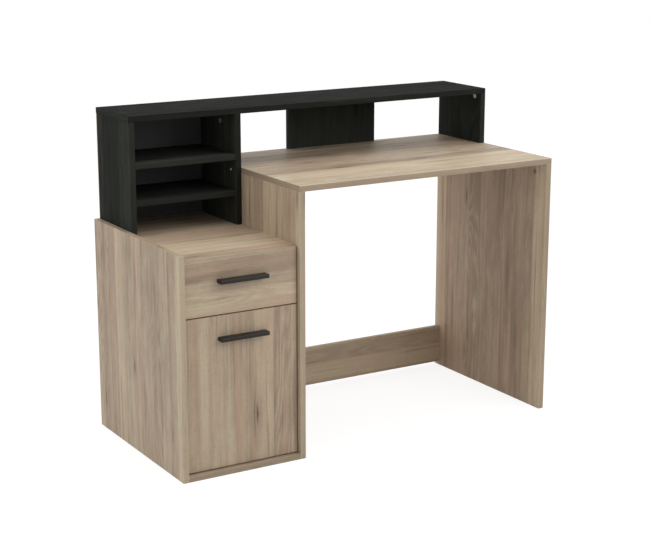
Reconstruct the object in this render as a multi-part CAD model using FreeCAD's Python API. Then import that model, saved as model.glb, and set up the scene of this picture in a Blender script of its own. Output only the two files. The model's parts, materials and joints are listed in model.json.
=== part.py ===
import FreeCAD, Part
import math
import os

# A computer desk. A pedestal with a drawer over a cupboard stands on the left, and its tall
# right-hand panel carries one end of the desk top. A plain panel carries the other end, with a
# low rail between the two at the back. A dark shelf unit stands along the back edge: over the
# pedestal it is a case of three pigeonholes, over the desk top a raised shelf on a middle panel.
#
# Lengths are in millimetres. Pieces are drawn in the maker's frame, with x to the right from the
# pedestal's left face, y back from the panels' front edges and z up from the floor. They are
# written out about the middle of the whole desk's footprint.

V = FreeCAD.Vector
X = V(1, 0, 0)
Y = V(0, 1, 0)
Z = V(0, 0, 1)

# Driving dimensions of the whole desk
desk_length = 1180.0
desk_depth = 540.0
desk_height = 750.0
hutch_rise = 165.0
hutch_depth = 218.0
pedestal_width = 366.0
pedestal_top_height = 590.0
pedestal_side_lip = 14.0
board = 16.0
sheet = 3.0

# Clearances shared by the whole desk
edge_break = 0.6
bore_play = 0.1
end_play = 0.5
rest_gap = 0.3
slot_play = 0.4
overrun = 2.0
same_place = 0.001

# The drawer front and the door stand back between the pedestal's panels
front_recess = 14.0
front_gap = 3.0
drawer_front_height = 153.5
door_floor_gap = 2.5
front_top_drop = 1.0
bumper_height = 1.2

# The back sheet and the rail are let in from the panels' back edges
back_inset = 10.0
groove_depth = 6.0
sheet_floor_gap = 1.0

# Low rail between the tall panel and the right panel
rail_bottom = 12.0
rail_height = 118.0

# Shelf unit: its two shelves lie at shares of the pigeonhole case's height
lower_shelf_share = 0.288
upper_shelf_share = 0.615
hutch_shelf_setback = 2.0
hutch_side_gap = 1.0
middle_panel_width = 300.0

# Planes that several pieces share
left_inner = board
tall_left = pedestal_width - board
tall_right = pedestal_width
right_inner = desk_length - board
desk_under = desk_height - board
pedestal_side_height = pedestal_top_height + pedestal_side_lip
pedestal_under = pedestal_top_height - board
hutch_height = desk_height + hutch_rise
hutch_under = hutch_height - board
hutch_front = desk_depth - hutch_depth
front_face = front_recess
front_back = front_recess + board
bay_middle = (left_inner + tall_left) / 2
desk_middle = (tall_left + desk_length) / 2
sheet_back = desk_depth - back_inset
sheet_front = sheet_back - sheet
front_left = left_inner + front_gap
front_right = tall_left - front_gap
drawer_front_top = pedestal_top_height - front_top_drop
drawer_front_bottom = drawer_front_top - drawer_front_height
door_top = drawer_front_bottom - front_gap
door_bottom = board + door_floor_gap

pieces = {}
cutters = {}
groups = {}


def block(x, y, z):
    """A box from its low and high value along each axis."""
    return Part.makeBox(x[1] - x[0], y[1] - y[0], z[1] - z[0], V(x[0], y[0], z[0]))


def rod(radius, start, end):
    """A cylinder between two points of its axis."""
    return Part.makeCylinder(radius, (end - start).Length, start, end - start)


def prism(points, along):
    """A closed outline of points, pushed out along a vector."""
    return Part.Face(Part.makePolygon(points + points[:1])).extrude(along)


def side_edges(shape, sides):
    """The edges round some sides of a box; a side is written like -y or +z."""
    bounds = shape.BoundBox
    planes = {
        "-x": bounds.XMin, "+x": bounds.XMax,
        "-y": bounds.YMin, "+y": bounds.YMax,
        "-z": bounds.ZMin, "+z": bounds.ZMax,
    }
    edges = []
    for edge in shape.Edges:
        for side in sides:
            axis = "xyz".index(side[1])
            if all(abs(corner.Point[axis] - planes[side]) < same_place for corner in edge.Vertexes):
                edges.append(edge)
                break
    return edges


def eased(shape, sides):
    """A board with the edges of its banded sides broken."""
    return shape.makeChamfer(edge_break, side_edges(shape, sides))


def mirrored(shape):
    """The same piece on the other side of the pedestal's bay."""
    return shape.mirror(V(bay_middle, 0, 0), X)


def add(name, shape):
    pieces[name] = shape


def add_pair(name, shape):
    """A left-hand piece and its mirror image on the right."""
    pieces[name + "_left"] = shape
    pieces[name + "_right"] = mirrored(shape)


def add_to(group, solid):
    groups.setdefault(group, []).append(solid)


def drill(name, cutter):
    cutters.setdefault(name, []).append(cutter)


# Cam fittings: a round lock let into a board's face grips a bolt that stands in the next board
cam_radius = 7.5
cam_depth = 12.5
cam_distance = 29.0
cam_edge_inset = 54.0
bolt_head_radius = 3.2
bolt_head_length = 4.0
bolt_neck_radius = 1.8
bolt_neck_length = 4.0
bolt_radius = 2.9
bolt_grip = 11.0
driver_length = 9.0
driver_width = 1.4
driver_depth = 2.0

# The groups of like fittings that one joint's lock and bolt go into
desk_cams = ("desk_cam_locks", "cam_bolts")
hutch_cams = ("hutch_cam_locks", "cam_bolts")
drawer_cams = ("drawer_cam_locks", "drawer_cam_bolts")


def driver_slot(centre, out, along):
    """The cross that turns a cam, cut into its face."""
    across = out.cross(along)
    arms = []
    for arm, side in ((along, across), (across, along)):
        reach = arm * (driver_length / 2)
        half = side * (driver_width / 2)
        near_edge = [centre + reach + half, centre - reach + half]
        far_edge = [centre - reach - half, centre + reach - half]
        arms.append(prism(near_edge + far_edge, out * -driver_depth))
    return arms[0].fuse(arms[1])


def cam_joint(kit, carrier, partner, centre, out, towards, reach=cam_distance, thickness=board):
    """A cam in the carrier's face at centre, and its bolt screwed into the partner.

    kit names the groups that the lock and the bolt go into, out is the face's outward direction,
    towards points at the partner, and reach is how far the joint lies from the cam's centre.
    """
    depth = min(cam_depth, thickness - bolt_neck_radius)
    middle = centre - out * (thickness / 2)
    cam = rod(cam_radius, centre, centre - out * depth)
    head_back = middle - towards * (bolt_head_length / 2)
    pocket_end = middle + towards * (cam_radius + overrun)
    pocket = rod(bolt_head_radius + bore_play, head_back - towards * end_play, pocket_end)
    add_to(kit[0], cam.cut([pocket, driver_slot(centre, out, towards)]))

    neck = middle + towards * (bolt_head_length / 2)
    shoulder = neck + towards * bolt_neck_length
    joint = middle + towards * reach
    tip = joint + towards * bolt_grip
    bolt = rod(bolt_head_radius, head_back, neck).fuse([
        rod(bolt_neck_radius, neck, shoulder),
        rod(bolt_radius, shoulder, tip),
    ])
    add_to(kit[1], bolt)

    drill(carrier, rod(cam_radius + bore_play, centre + out * overrun, centre - out * (depth + bore_play)))
    drill(carrier, rod(bolt_head_radius + bore_play, middle, joint + towards * overrun))
    drill(partner, rod(bolt_radius + bore_play, joint - towards * overrun, tip + towards * end_play))


# Wooden dowels, part in a board's face and part in the end of the board that meets it
dowel_radius = 4.0
dowel_length = 30.0
dowel_in_face = 11.0
dowel_inset = 40.0


def dowel(kit, face_board, end_board, joint, into_face):
    """One dowel across a joint; into_face points from the end board into the face board."""
    start = joint - into_face * (dowel_length - dowel_in_face)
    end = joint + into_face * dowel_in_face
    hole_radius = dowel_radius + bore_play
    add_to(kit, rod(dowel_radius, start, end))
    drill(face_board, rod(hole_radius, joint - into_face * overrun, end + into_face * end_play))
    drill(end_board, rod(hole_radius, start - into_face * end_play, joint + into_face * overrun))


def pan_screw(group, seat, into, length, head, radius):
    """A screw whose head, a radius and a height, stands on a surface at seat."""
    cap = rod(head[0], seat - into * head[1], seat)
    screw = cap.fuse(rod(radius, seat, seat + into * length))
    add_to(group, screw)
    return screw


# Countersunk chipboard screws
screw_radius = 1.75
screw_head_radius = 3.5
screw_head_height = 2.4


def flush_screw(group, carrier, partner, seat, into, length, thickness):
    """A countersunk screw from the carrier's face at seat into the partner behind it."""
    neck = seat + into * screw_head_height
    head = Part.makeCone(screw_head_radius, screw_radius, screw_head_height, seat, into)
    add_to(group, head.fuse(rod(screw_radius, neck, seat + into * length)))
    hole_radius = screw_radius + bore_play
    bottom = seat + into * (length + end_play)
    joint = seat + into * thickness
    drill(carrier, Part.makeCone(screw_head_radius + bore_play, hole_radius, screw_head_height, seat, into))
    drill(carrier, rod(hole_radius, seat + into * (screw_head_height / 2), joint))
    drill(partner, rod(hole_radius, joint - into * overrun, bottom))


# Pedestal

def make_pedestal():
    """Side panels, floor board, top board and the back sheet that slides in their grooves."""
    depth = (0, desk_depth)
    left = block((0, board), depth, (0, pedestal_side_height))
    add("pedestal_left_panel", eased(left, ("-y", "+y", "+z")))
    tall = block((tall_left, tall_right), depth, (0, desk_under))
    add("tall_panel", eased(tall, ("-y", "+y")))
    bay = (left_inner, tall_left)
    add("pedestal_bottom_board", eased(block(bay, (0, sheet_front), (0, board)), ("-y",)))
    top_front = front_back + bumper_height + rest_gap
    top = block(bay, (top_front, desk_depth), (pedestal_under, pedestal_top_height))
    add("pedestal_top_board", eased(top, ("-y", "+y")))

    sheet_width = (left_inner - groove_depth + end_play, tall_left + groove_depth - end_play)
    sheet_top = pedestal_under + groove_depth - end_play
    back = block(sheet_width, (sheet_front, sheet_back), (sheet_floor_gap, sheet_top))
    add("pedestal_back_sheet", back)
    groove = (sheet_front - slot_play, sheet_back)
    groove_top = pedestal_under + groove_depth
    let_in = (left_inner - groove_depth, left_inner + overrun)
    side_groove = block(let_in, groove, (-overrun, groove_top))
    drill("pedestal_left_panel", side_groove)
    drill("tall_panel", mirrored(side_groove))
    drill("pedestal_top_board", block(bay, groove, (pedestal_under - overrun, groove_top)))

    for y in (cam_edge_inset, desk_depth - cam_edge_inset):
        for name, underside in (("pedestal_bottom_board", 0), ("pedestal_top_board", pedestal_under)):
            left_end = V(left_inner + cam_distance, y, underside)
            right_end = V(tall_left - cam_distance, y, underside)
            cam_joint(desk_cams, name, "pedestal_left_panel", left_end, -Z, -X)
            cam_joint(desk_cams, name, "tall_panel", right_end, -Z, X)


# Loose shelf in the cupboard, on four pegs
cupboard_shelf_share = 0.484
cupboard_shelf_front = 60.0
cupboard_shelf_gap = 1.0
peg_radius = 2.5
peg_in_board = 8.0
peg_reach = 9.0
peg_collar_radius = 4.0
peg_collar = 1.2
peg_inset = 45.0
cupboard_shelf_height = board + (door_top - board) * cupboard_shelf_share


def make_cupboard_shelf():
    """The shelf and the collared pegs that it lies on."""
    width = (left_inner + cupboard_shelf_gap, tall_left - cupboard_shelf_gap)
    depth = (cupboard_shelf_front, sheet_front - cupboard_shelf_gap)
    height = (cupboard_shelf_height, cupboard_shelf_height + board)
    shelf = block(width, depth, height)
    add("cupboard_shelf", eased(shelf, ("-y",)))
    peg_height = cupboard_shelf_height - peg_radius
    for y in (depth[0] + peg_inset, depth[1] - peg_inset):
        wall = V(left_inner, y, peg_height)
        peg = rod(peg_radius, wall - X * peg_in_board, wall + X * peg_reach)
        collar = rod(peg_collar_radius, wall, wall + X * peg_collar)
        notch = block((left_inner, left_inner + peg_reach), depth, height)
        peg = peg.fuse(collar.cut(notch))
        bore = rod(peg_radius + bore_play, wall - X * (peg_in_board + end_play), wall + X * overrun)
        add_to("shelf_pegs", peg)
        add_to("shelf_pegs", mirrored(peg))
        drill("pedestal_left_panel", bore)
        drill("tall_panel", mirrored(bore))


# Desk top, right panel and rail
rail_cam_share = 0.7


def make_desk():
    """The board over the knee space, the panel under its right end and the rail at the back."""
    depth = (0, desk_depth)
    top = block((tall_left, desk_length), depth, (desk_under, desk_height))
    add("desk_top", eased(top, ("-x", "+x", "-y", "+y")))
    right = block((right_inner, desk_length), depth, (0, desk_under))
    add("desk_right_panel", eased(right, ("-y", "+y")))
    rail_span = (sheet_back - board, sheet_back)
    rail = block((tall_right, right_inner), rail_span, (rail_bottom, rail_bottom + rail_height))
    add("desk_back_rail", eased(rail, ("-z", "+z")))

    head = desk_under - cam_distance
    for y in (cam_edge_inset, desk_depth - cam_edge_inset):
        cam_joint(desk_cams, "tall_panel", "desk_top", V(tall_right, y, head), X, Z)
        cam_joint(desk_cams, "desk_right_panel", "desk_top", V(right_inner, y, head), -X, Z)

    cam_height = rail_bottom + rail_height * rail_cam_share
    dowel_height = rail_bottom + rail_height * (1 - rail_cam_share)
    rail_middle = sheet_back - board / 2
    for end, into, panel in ((tall_right, -X, "tall_panel"), (right_inner, X, "desk_right_panel")):
        centre = V(end, sheet_back, cam_height) - into * cam_distance
        cam_joint(desk_cams, "desk_back_rail", panel, centre, Y, into)
        dowel("wood_dowels", panel, "desk_back_rail", V(end, rail_middle, dowel_height), into)


# Shelf unit along the back
hutch_left = left_inner + hutch_side_gap
divider_left = tall_left - board
case_back = desk_depth - sheet
middle_left = desk_middle - middle_panel_width / 2
middle_right = desk_middle + middle_panel_width / 2
hutch_cam_back = 125.0
close_cam_distance = 9.5
close_cam_inset = 32.0
divider_screw_length = 40.0
middle_cam_inset = 45.0


def make_hutch():
    """The pigeonhole case, the raised shelf's supports and the long board over all of them."""
    upright = (pedestal_top_height, hutch_under)
    raised = (desk_height, hutch_under)
    case_depth = (hutch_front, case_back)
    left = block((hutch_left, hutch_left + board), case_depth, upright)
    add("hutch_left_panel", eased(left, ("-y", "-x")))
    add("hutch_divider", eased(block((divider_left, tall_left), case_depth, upright), ("-y",)))
    right = block((right_inner, desk_length), (hutch_front, desk_depth), raised)
    add("hutch_right_panel", eased(right, ("-y", "+x", "+y")))
    middle = block((middle_left, middle_right), (desk_depth - board, desk_depth), raised)
    add("hutch_middle_panel", eased(middle, ("-x", "+x")))
    top = block((left_inner, desk_length), (hutch_front, desk_depth), (hutch_under, hutch_height))
    add("hutch_top_board", eased(top, ("-x", "+x", "-y", "+y")))
    add("hutch_back_sheet", block((hutch_left, tall_left), (case_back, desk_depth), upright))

    shelf_width = (hutch_left + board, divider_left)
    shelf_depth = (hutch_front + hutch_shelf_setback, case_back)
    for name, share in (("lower", lower_shelf_share), ("upper", upper_shelf_share)):
        node = "hutch_" + name + "_shelf"
        middle_height = pedestal_top_height + (hutch_under - pedestal_top_height) * share
        height = (middle_height - board / 2, middle_height + board / 2)
        add(node, eased(block(shelf_width, shelf_depth, height), ("-y",)))
        for y in (shelf_depth[0] + dowel_inset, shelf_depth[1] - dowel_inset):
            dowel("wood_dowels", "hutch_left_panel", node, V(shelf_width[0], y, middle_height), -X)
            dowel("wood_dowels", "hutch_divider", node, V(shelf_width[1], y, middle_height), X)


def join_hutch():
    """Dowels at the feet of the shelf unit, cams at its heads and screws into the desk top's end."""
    feet = (
        ("hutch_left_panel", "pedestal_top_board", hutch_left + board / 2, pedestal_top_height, case_back),
        ("hutch_divider", "pedestal_top_board", tall_left - board / 2, pedestal_top_height, case_back),
        ("hutch_right_panel", "desk_top", desk_length - board / 2, desk_height, desk_depth),
    )
    for upright, below, x, z, back in feet:
        for y in (hutch_front + dowel_inset, back - dowel_inset):
            dowel("wood_dowels", below, upright, V(x, y, z), -Z)
    for x in (middle_left + dowel_inset, middle_right - dowel_inset):
        dowel("wood_dowels", "desk_top", "hutch_middle_panel", V(x, desk_depth - board / 2, desk_height), -Z)

    top = "hutch_top_board"
    head = hutch_under - cam_distance
    cam_y = desk_depth - hutch_cam_back
    cam_joint(hutch_cams, "hutch_left_panel", top, V(hutch_left + board, cam_y, head), X, Z)
    cam_joint(hutch_cams, "hutch_divider", top, V(divider_left, cam_y, head), -X, Z)
    for x in (middle_left + middle_cam_inset, middle_right - middle_cam_inset):
        cam_joint(hutch_cams, "hutch_middle_panel", top, V(x, desk_depth, head), Y, Z)
    close = hutch_under - close_cam_distance
    for y in (hutch_front + close_cam_inset, desk_depth - close_cam_inset):
        cam_joint(hutch_cams, "hutch_right_panel", top, V(right_inner, y, close), -X, Z, close_cam_distance)
        seat = V(divider_left, y, desk_height - board / 2)
        flush_screw("hutch_screws", "hutch_divider", "desk_top", seat, X, divider_screw_length, board)


# Drawer box on roller runners
drawer_side = 12.0
drawer_box_depth = 400.0
drawer_box_rise = 12.5
drawer_headroom = 26.0
drawer_sheet_rise = 8.0
drawer_travel = 300.0
drawer_cam_distance = 24.0
drawer_screw_length = 34.0
drawer_cam_share = 0.5
drawer_dowel_share = 0.82
drawer_screw_shares = (0.4, 0.8)
bumper_radius = 4.0
bumper_inset = 20.0
runner_space = 12.5
side_left = left_inner + runner_space
box_inner_left = side_left + drawer_side
box_inner_right = 2 * bay_middle - box_inner_left
box_back = front_back + drawer_box_depth
drawer_box_bottom = drawer_front_bottom + drawer_box_rise
box_top = pedestal_under - drawer_headroom
drawer_box_height = box_top - drawer_box_bottom
tray_floor = drawer_box_bottom + drawer_sheet_rise


def make_drawer():
    """The drawer front and the box behind it, with a thin floor in grooves."""
    front_span = (front_face, front_back)
    front = block((front_left, front_right), front_span, (drawer_front_bottom, drawer_front_top))
    add("drawer_front", eased(front, ("-x", "+x", "-y", "-z", "+z")))
    side = block((side_left, box_inner_left), (front_back, box_back), (drawer_box_bottom, box_top))
    add_pair("drawer_side", eased(side, ("+z",)))
    back_bottom = tray_floor + sheet
    inner = (box_inner_left, box_inner_right)
    back = block(inner, (box_back - drawer_side, box_back), (back_bottom, box_top))
    add("drawer_back", eased(back, ("+z",)))

    floor_width = (box_inner_left - groove_depth + end_play, box_inner_right + groove_depth - end_play)
    floor_depth = (front_back - groove_depth + end_play, box_back)
    add("drawer_floor", block(floor_width, floor_depth, (tray_floor, back_bottom)))
    groove = (tray_floor, back_bottom + slot_play)
    let_in = (box_inner_left - groove_depth, box_inner_left + overrun)
    side_groove = block(let_in, (front_back, box_back), groove)
    drill("drawer_side_left", side_groove)
    drill("drawer_side_right", mirrored(side_groove))
    groove_width = (floor_width[0] - end_play, floor_width[1] + end_play)
    drill("drawer_front", block(groove_width, (front_back - groove_depth, front_back), groove))


def join_drawer():
    """Cams and dowels hold the sides to the front, screws hold them to the back."""
    cam_height = drawer_box_bottom + drawer_box_height * drawer_cam_share
    dowel_height = drawer_box_bottom + drawer_box_height * drawer_dowel_share
    ends = (
        ("drawer_side_left", box_inner_left, side_left, X),
        ("drawer_side_right", box_inner_right, 2 * bay_middle - side_left, -X),
    )
    for side, inner, outer, inward in ends:
        centre = V(inner, front_back + drawer_cam_distance, cam_height)
        cam_joint(drawer_cams, side, "drawer_front", centre, inward, -Y, drawer_cam_distance, drawer_side)
        joint = V(inner, front_back, dowel_height) - inward * (drawer_side / 2)
        dowel("drawer_dowels", "drawer_front", side, joint, -Y)
        for share in drawer_screw_shares:
            seat = V(outer, box_back - drawer_side / 2, drawer_box_bottom + drawer_box_height * share)
            flush_screw("drawer_screws", side, "drawer_back", seat, inward, drawer_screw_length, drawer_side)
    for x in (front_left + bumper_inset, front_right - bumper_inset):
        seat = V(x, front_back, pedestal_top_height - board / 2)
        add_to("drawer_bumpers", rod(bumper_radius, seat, seat + Y * bumper_height))


# Steel roller runners: a channel on the cabinet, a folded rail on the drawer, one roller on each
steel = 1.2
runner_length = drawer_box_depth
runner_setback = 4.0
roller_radius = 9.7
roller_width = 6.5
roller_web = 4.0
roller_hub_radius = 4.4
roller_rim = 1.8
roller_edge = 0.6
roller_inset = 14.0
roller_rise = 12.0
axle_radius = 2.5
axle_play = 0.08
axle_head_radius = 4.0
axle_head = 0.6
track_width = 9.8
guard_width = 5.0
guard_gap = 0.8
guard_entry = 60.0
rail_foot = 9.5
rail_reach = 9.9
stop_ridge = 1.2
runner_screw_rise = 7.5
runner_screw_length = 12.0
foot_screw_length = 8.0
runner_head = (3.0, 1.0)
runner_screw_shares = (0.2, 0.8)
foot_screw_shares = (0.1, 0.9)
roller_height = drawer_box_bottom + roller_rise
track = roller_height - roller_radius - rest_gap
rail_under = roller_height + roller_radius + rest_gap
guard_under = rail_under + steel + guard_gap
roller_middle = left_inner + runner_space / 2
runner_front = front_back + runner_setback
runner_back = runner_front + runner_length
front_axle_y = runner_front + roller_inset
rear_axle_y = box_back - roller_inset
rail_web = side_left - steel


def make_cabinet_runner():
    """A channel on the cabinet's side, with an entry for the drawer's rail and two stops."""
    web = left_inner + steel
    outline = [
        V(left_inner, runner_front, track - steel),
        V(left_inner + track_width, runner_front, track - steel),
        V(left_inner + track_width, runner_front, track),
        V(web, runner_front, track),
        V(web, runner_front, guard_under),
        V(left_inner + guard_width, runner_front, guard_under),
        V(left_inner + guard_width, runner_front, guard_under + steel),
        V(left_inner, runner_front, guard_under + steel),
    ]
    channel = prism(outline, Y * runner_length)
    entry_depth = (runner_front - overrun, runner_front + guard_entry)
    entry = block((web, side_left), entry_depth, (rail_under, guard_under + board))
    track_span = (web, left_inner + track_width)
    end_stop = block(track_span, (runner_back - steel, runner_back), (track, guard_under))
    bite = stop_ridge - rest_gap
    roller_back = math.sqrt(bite * (2 * roller_radius - bite))
    ridge_back = rear_axle_y - drawer_travel - roller_back - rest_gap
    ridge = block(track_span, (ridge_back - 2 * steel, ridge_back), (track, track + stop_ridge))
    axle_foot = V(left_inner, front_axle_y, roller_height)
    axle_bore = rod(axle_radius, axle_foot, axle_foot + X * runner_space)
    channel = channel.cut([entry, axle_bore]).fuse([end_stop, ridge]).removeSplitter()

    for share in runner_screw_shares:
        seat = V(web, runner_front + runner_length * share, roller_height + runner_screw_rise)
        hole = rod(screw_radius + bore_play, seat - X * (runner_screw_length + end_play), seat + X * overrun)
        channel = channel.cut(hole)
        drill("pedestal_left_panel", hole)
        drill("tall_panel", mirrored(hole))
        screw = pan_screw("cabinet_runner_screws", seat, -X, runner_screw_length, runner_head, screw_radius)
        add_to("cabinet_runner_screws", mirrored(screw))
    add_pair("cabinet_runner", channel)


def make_drawer_runner():
    """A folded rail under the drawer's side: its top flange rides on the cabinet's roller."""
    front = front_back + rest_gap
    outline = [
        V(rail_web, front, drawer_box_bottom - steel),
        V(side_left + rail_foot, front, drawer_box_bottom - steel),
        V(side_left + rail_foot, front, drawer_box_bottom),
        V(side_left, front, drawer_box_bottom),
        V(side_left, front, rail_under + steel),
        V(side_left - rail_reach, front, rail_under + steel),
        V(side_left - rail_reach, front, rail_under),
        V(rail_web, front, rail_under),
    ]
    rail = prism(outline, Y * (drawer_box_depth - rest_gap))
    axle_foot = V(side_left, rear_axle_y, roller_height)
    rail = rail.cut(rod(axle_radius, axle_foot, axle_foot - X * runner_space))
    for share in foot_screw_shares:
        screw_y = front + drawer_box_depth * share
        seat = V(side_left + drawer_side / 2, screw_y, drawer_box_bottom - steel)
        screw = pan_screw("drawer_runner_screws", seat, Z, foot_screw_length, runner_head, screw_radius)
        add_to("drawer_runner_screws", mirrored(screw))
        hole = rod(screw_radius + bore_play, seat - Z * overrun, seat + Z * (foot_screw_length + end_play))
        rail = rail.cut(hole)
        drill("drawer_side_left", hole)
        drill("drawer_side_right", mirrored(hole))
    add_pair("drawer_runner", rail)


def make_roller(y):
    """A moulded roller about an axle along x: a rim, a thinner web and a hub."""
    outer = roller_width / 2
    web = roller_web / 2
    bore = axle_radius + axle_play
    rim = roller_radius - roller_rim
    outline = [
        V(-outer, 0, bore), V(-outer, 0, roller_hub_radius), V(-web, 0, roller_hub_radius),
        V(-web, 0, rim), V(-outer, 0, rim), V(-outer, 0, roller_radius - roller_edge),
        V(-outer + roller_edge, 0, roller_radius), V(outer - roller_edge, 0, roller_radius),
        V(outer, 0, roller_radius - roller_edge), V(outer, 0, rim), V(web, 0, rim),
        V(web, 0, roller_hub_radius), V(outer, 0, roller_hub_radius), V(outer, 0, bore),
    ]
    section = Part.Face(Part.makePolygon(outline + outline[:1]))
    roller = section.revolve(V(0, 0, 0), X, 360)
    roller.translate(V(roller_middle, y, roller_height))
    return roller


def make_rollers():
    """Front rollers turn on the cabinet's runners, rear rollers on the drawer's rails."""
    add_pair("front_roller", make_roller(front_axle_y))
    add_pair("rear_roller", make_roller(rear_axle_y))
    clear = roller_width / 2 + bore_play
    ends = (
        ("front_roller_axles", front_axle_y, left_inner, roller_middle + clear, X),
        ("rear_roller_axles", rear_axle_y, side_left, roller_middle - clear, -X),
    )
    for group, y, root, head_x, along in ends:
        head_seat = V(head_x, y, roller_height)
        axle = rod(axle_radius, V(root, y, roller_height), head_seat)
        axle = axle.fuse(rod(axle_head_radius, head_seat, head_seat + along * axle_head))
        add_to(group, axle)
        add_to(group, mirrored(axle))


# Handles: a folded bar with a finger groove below, on two solid feet
handle_length = 140.0
handle_reach = 25.0
handle_height = 10.0
handle_wall = 3.0
handle_foot = 12.0
handle_bevel = 1.5
handle_centres = 128.0
handle_screw_radius = 2.0
handle_screw_grip = 12.0
handle_screw_head = (4.0, 2.4)
drawer_handle_drop = 59.0
door_handle_drop = 56.0


def make_handle(name, carrier, top):
    """A handle whose top edge lies at a height, with its two machine screws from behind."""
    half = handle_length / 2
    height = (top - handle_height, top)
    outer = front_face - handle_reach
    bar = block((bay_middle - half, bay_middle + half), (outer, front_face), height)
    bar = bar.makeChamfer(handle_bevel, side_edges(bar, ("-y",)))
    grip = block(
        (bay_middle - half + handle_foot, bay_middle + half - handle_foot),
        (outer + handle_wall, front_face + overrun),
        (height[0] - overrun, top - handle_wall),
    )
    bar = bar.cut(grip)
    for side in (-X, X):
        seat = V(bay_middle, front_back, top - handle_height / 2) + side * (handle_centres / 2)
        reach = board + handle_screw_grip
        pan_screw(name + "_screws", seat, -Y, reach, handle_screw_head, handle_screw_radius)
        hole = rod(handle_screw_radius + bore_play, seat + Y * overrun, seat - Y * (reach + end_play))
        bar = bar.cut(hole)
        drill(carrier, hole)
    add(name, bar)


# Cupboard door on two concealed cup hinges, and the stop that it closes against
hinge_inset = 80.0
cup_radius = 17.5
cup_depth = 11.0
cup_wall = 1.0
cup_edge_distance = 22.0
flange_thickness = 1.2
flange_rim = 1.8
flange_length = 60.0
flange_width = 15.0
cup_screw_centres = 48.0
fitting_screw_length = 10.0
fitting_screw_radius = 1.6
fitting_screw_head = (3.0, 1.6)
plate_thickness = 2.5
plate_rib_half = 6.0
plate_wing_half = 22.0
plate_wing_width = 14.0
plate_screw_centres = 32.0
plate_screw_line = 67.0
plate_front = 47.0
plate_back = 97.0
arm_steel = 1.4
arm_gap = 0.5
arm_thickness = 9.0
arm_half = 8.0
arm_tip_half = 3.5
arm_tip_depth = 6.0
arm_neck_gap = 3.0
adjuster_length = 6.0
adjuster_shares = (0.25, 0.8)
hinge_x = front_left + cup_edge_distance
plate_face = left_inner + plate_thickness
arm_low = plate_face + arm_gap
arm_high = arm_low + arm_thickness


def fitting_screw(group, seat, into, length=fitting_screw_length):
    """A short screw through a fitting whose face lies at seat, and the hole that it needs."""
    pan_screw(group, seat, into, length, fitting_screw_head, fitting_screw_radius)
    bottom = seat + into * (length + end_play)
    return rod(fitting_screw_radius + bore_play, seat - into * overrun, bottom)


def make_door():
    """The inset door, with its bottom edge over the floor board."""
    door = block((front_left, front_right), (front_face, front_back), (door_bottom, door_top))
    add("cupboard_door", eased(door, ("-x", "+x", "-y", "-z", "+z")))


def make_hinge(name, z):
    """One hinge at a height: the cup in the door, the plate on the panel and the cranked arm."""
    mouth = V(hinge_x, front_back, z)
    cup = rod(cup_radius, mouth - Y * cup_depth, mouth)
    flange = block(
        (hinge_x - flange_width / 2, hinge_x + flange_width / 2),
        (front_back, front_back + flange_thickness),
        (z - flange_length / 2, z + flange_length / 2),
    )
    ring = rod(cup_radius + flange_rim, mouth, mouth + Y * flange_thickness)
    inside = mouth - Y * (cup_depth - cup_wall)
    hollow = rod(cup_radius - cup_wall, inside, mouth + Y * (flange_thickness + overrun))
    cup = cup.fuse([flange, ring]).cut(hollow).removeSplitter()
    pocket_floor = mouth - Y * (cup_depth + bore_play)
    drill("cupboard_door", rod(cup_radius + bore_play, pocket_floor, mouth + Y * overrun))
    for side in (-Z, Z):
        seat = mouth + Y * flange_thickness + side * (cup_screw_centres / 2)
        hole = fitting_screw("hinge_cup_screws", seat, -Y)
        cup = cup.cut(hole)
        drill("cupboard_door", hole)
    add("hinge_cup_" + name, cup)

    rib_depth = (plate_front, plate_back - arm_steel - rest_gap)
    rib_height = (z - plate_rib_half, z + plate_rib_half)
    rib = block((left_inner, arm_high - arm_steel), rib_depth, rib_height)
    wing_y = (plate_screw_line - plate_wing_width / 2, plate_screw_line + plate_wing_width / 2)
    wing = block((left_inner, plate_face), wing_y, (z - plate_wing_half, z + plate_wing_half))
    plate = rib.fuse(wing).removeSplitter()
    for side in (-Z, Z):
        seat = V(plate_face, plate_screw_line, z) + side * (plate_screw_centres / 2)
        hole = fitting_screw("cupboard_fitting_screws", seat, -X)
        plate = plate.cut(hole)
        drill("pedestal_left_panel", hole)

    low = z - arm_half
    neck = front_back + flange_thickness + arm_neck_gap
    tip = front_back - arm_tip_depth
    outline = [
        V(arm_low, plate_back, low),
        V(arm_low, plate_front, low),
        V(hinge_x - arm_tip_half, neck, low),
        V(hinge_x - arm_tip_half, tip, low),
        V(hinge_x + arm_tip_half, tip, low),
        V(hinge_x + arm_tip_half, neck + arm_tip_half, low),
        V(arm_high, plate_front + arm_thickness, low),
        V(arm_high, plate_back, low),
    ]
    arm = prism(outline, Z * (2 * arm_half))
    inside = Part.Face(Part.makePolygon(outline + outline[:1])).makeOffset2D(-arm_steel)
    inside.translate(Z * arm_steel)
    channel = inside.extrude(Z * (2 * (arm_half - arm_steel)))
    mouth_side = channel.copy()
    mouth_side.translate(-X * (2 * arm_steel + overrun))
    arm = arm.cut([channel, mouth_side])
    for share in adjuster_shares:
        seat = V(arm_high, rib_depth[0] + (rib_depth[1] - rib_depth[0]) * share, z)
        hole = fitting_screw("cupboard_fitting_screws", seat, -X, adjuster_length)
        arm = arm.cut(hole)
        plate = plate.cut(hole)
    add("hinge_plate_" + name, plate)
    add("hinge_arm_" + name, arm)


stop_drop = 28.5
stop_plate = 3.0
stop_length = 24.0
stop_reach = 16.0
stop_screw_share = 0.6
stop_height = door_top - stop_drop


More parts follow.
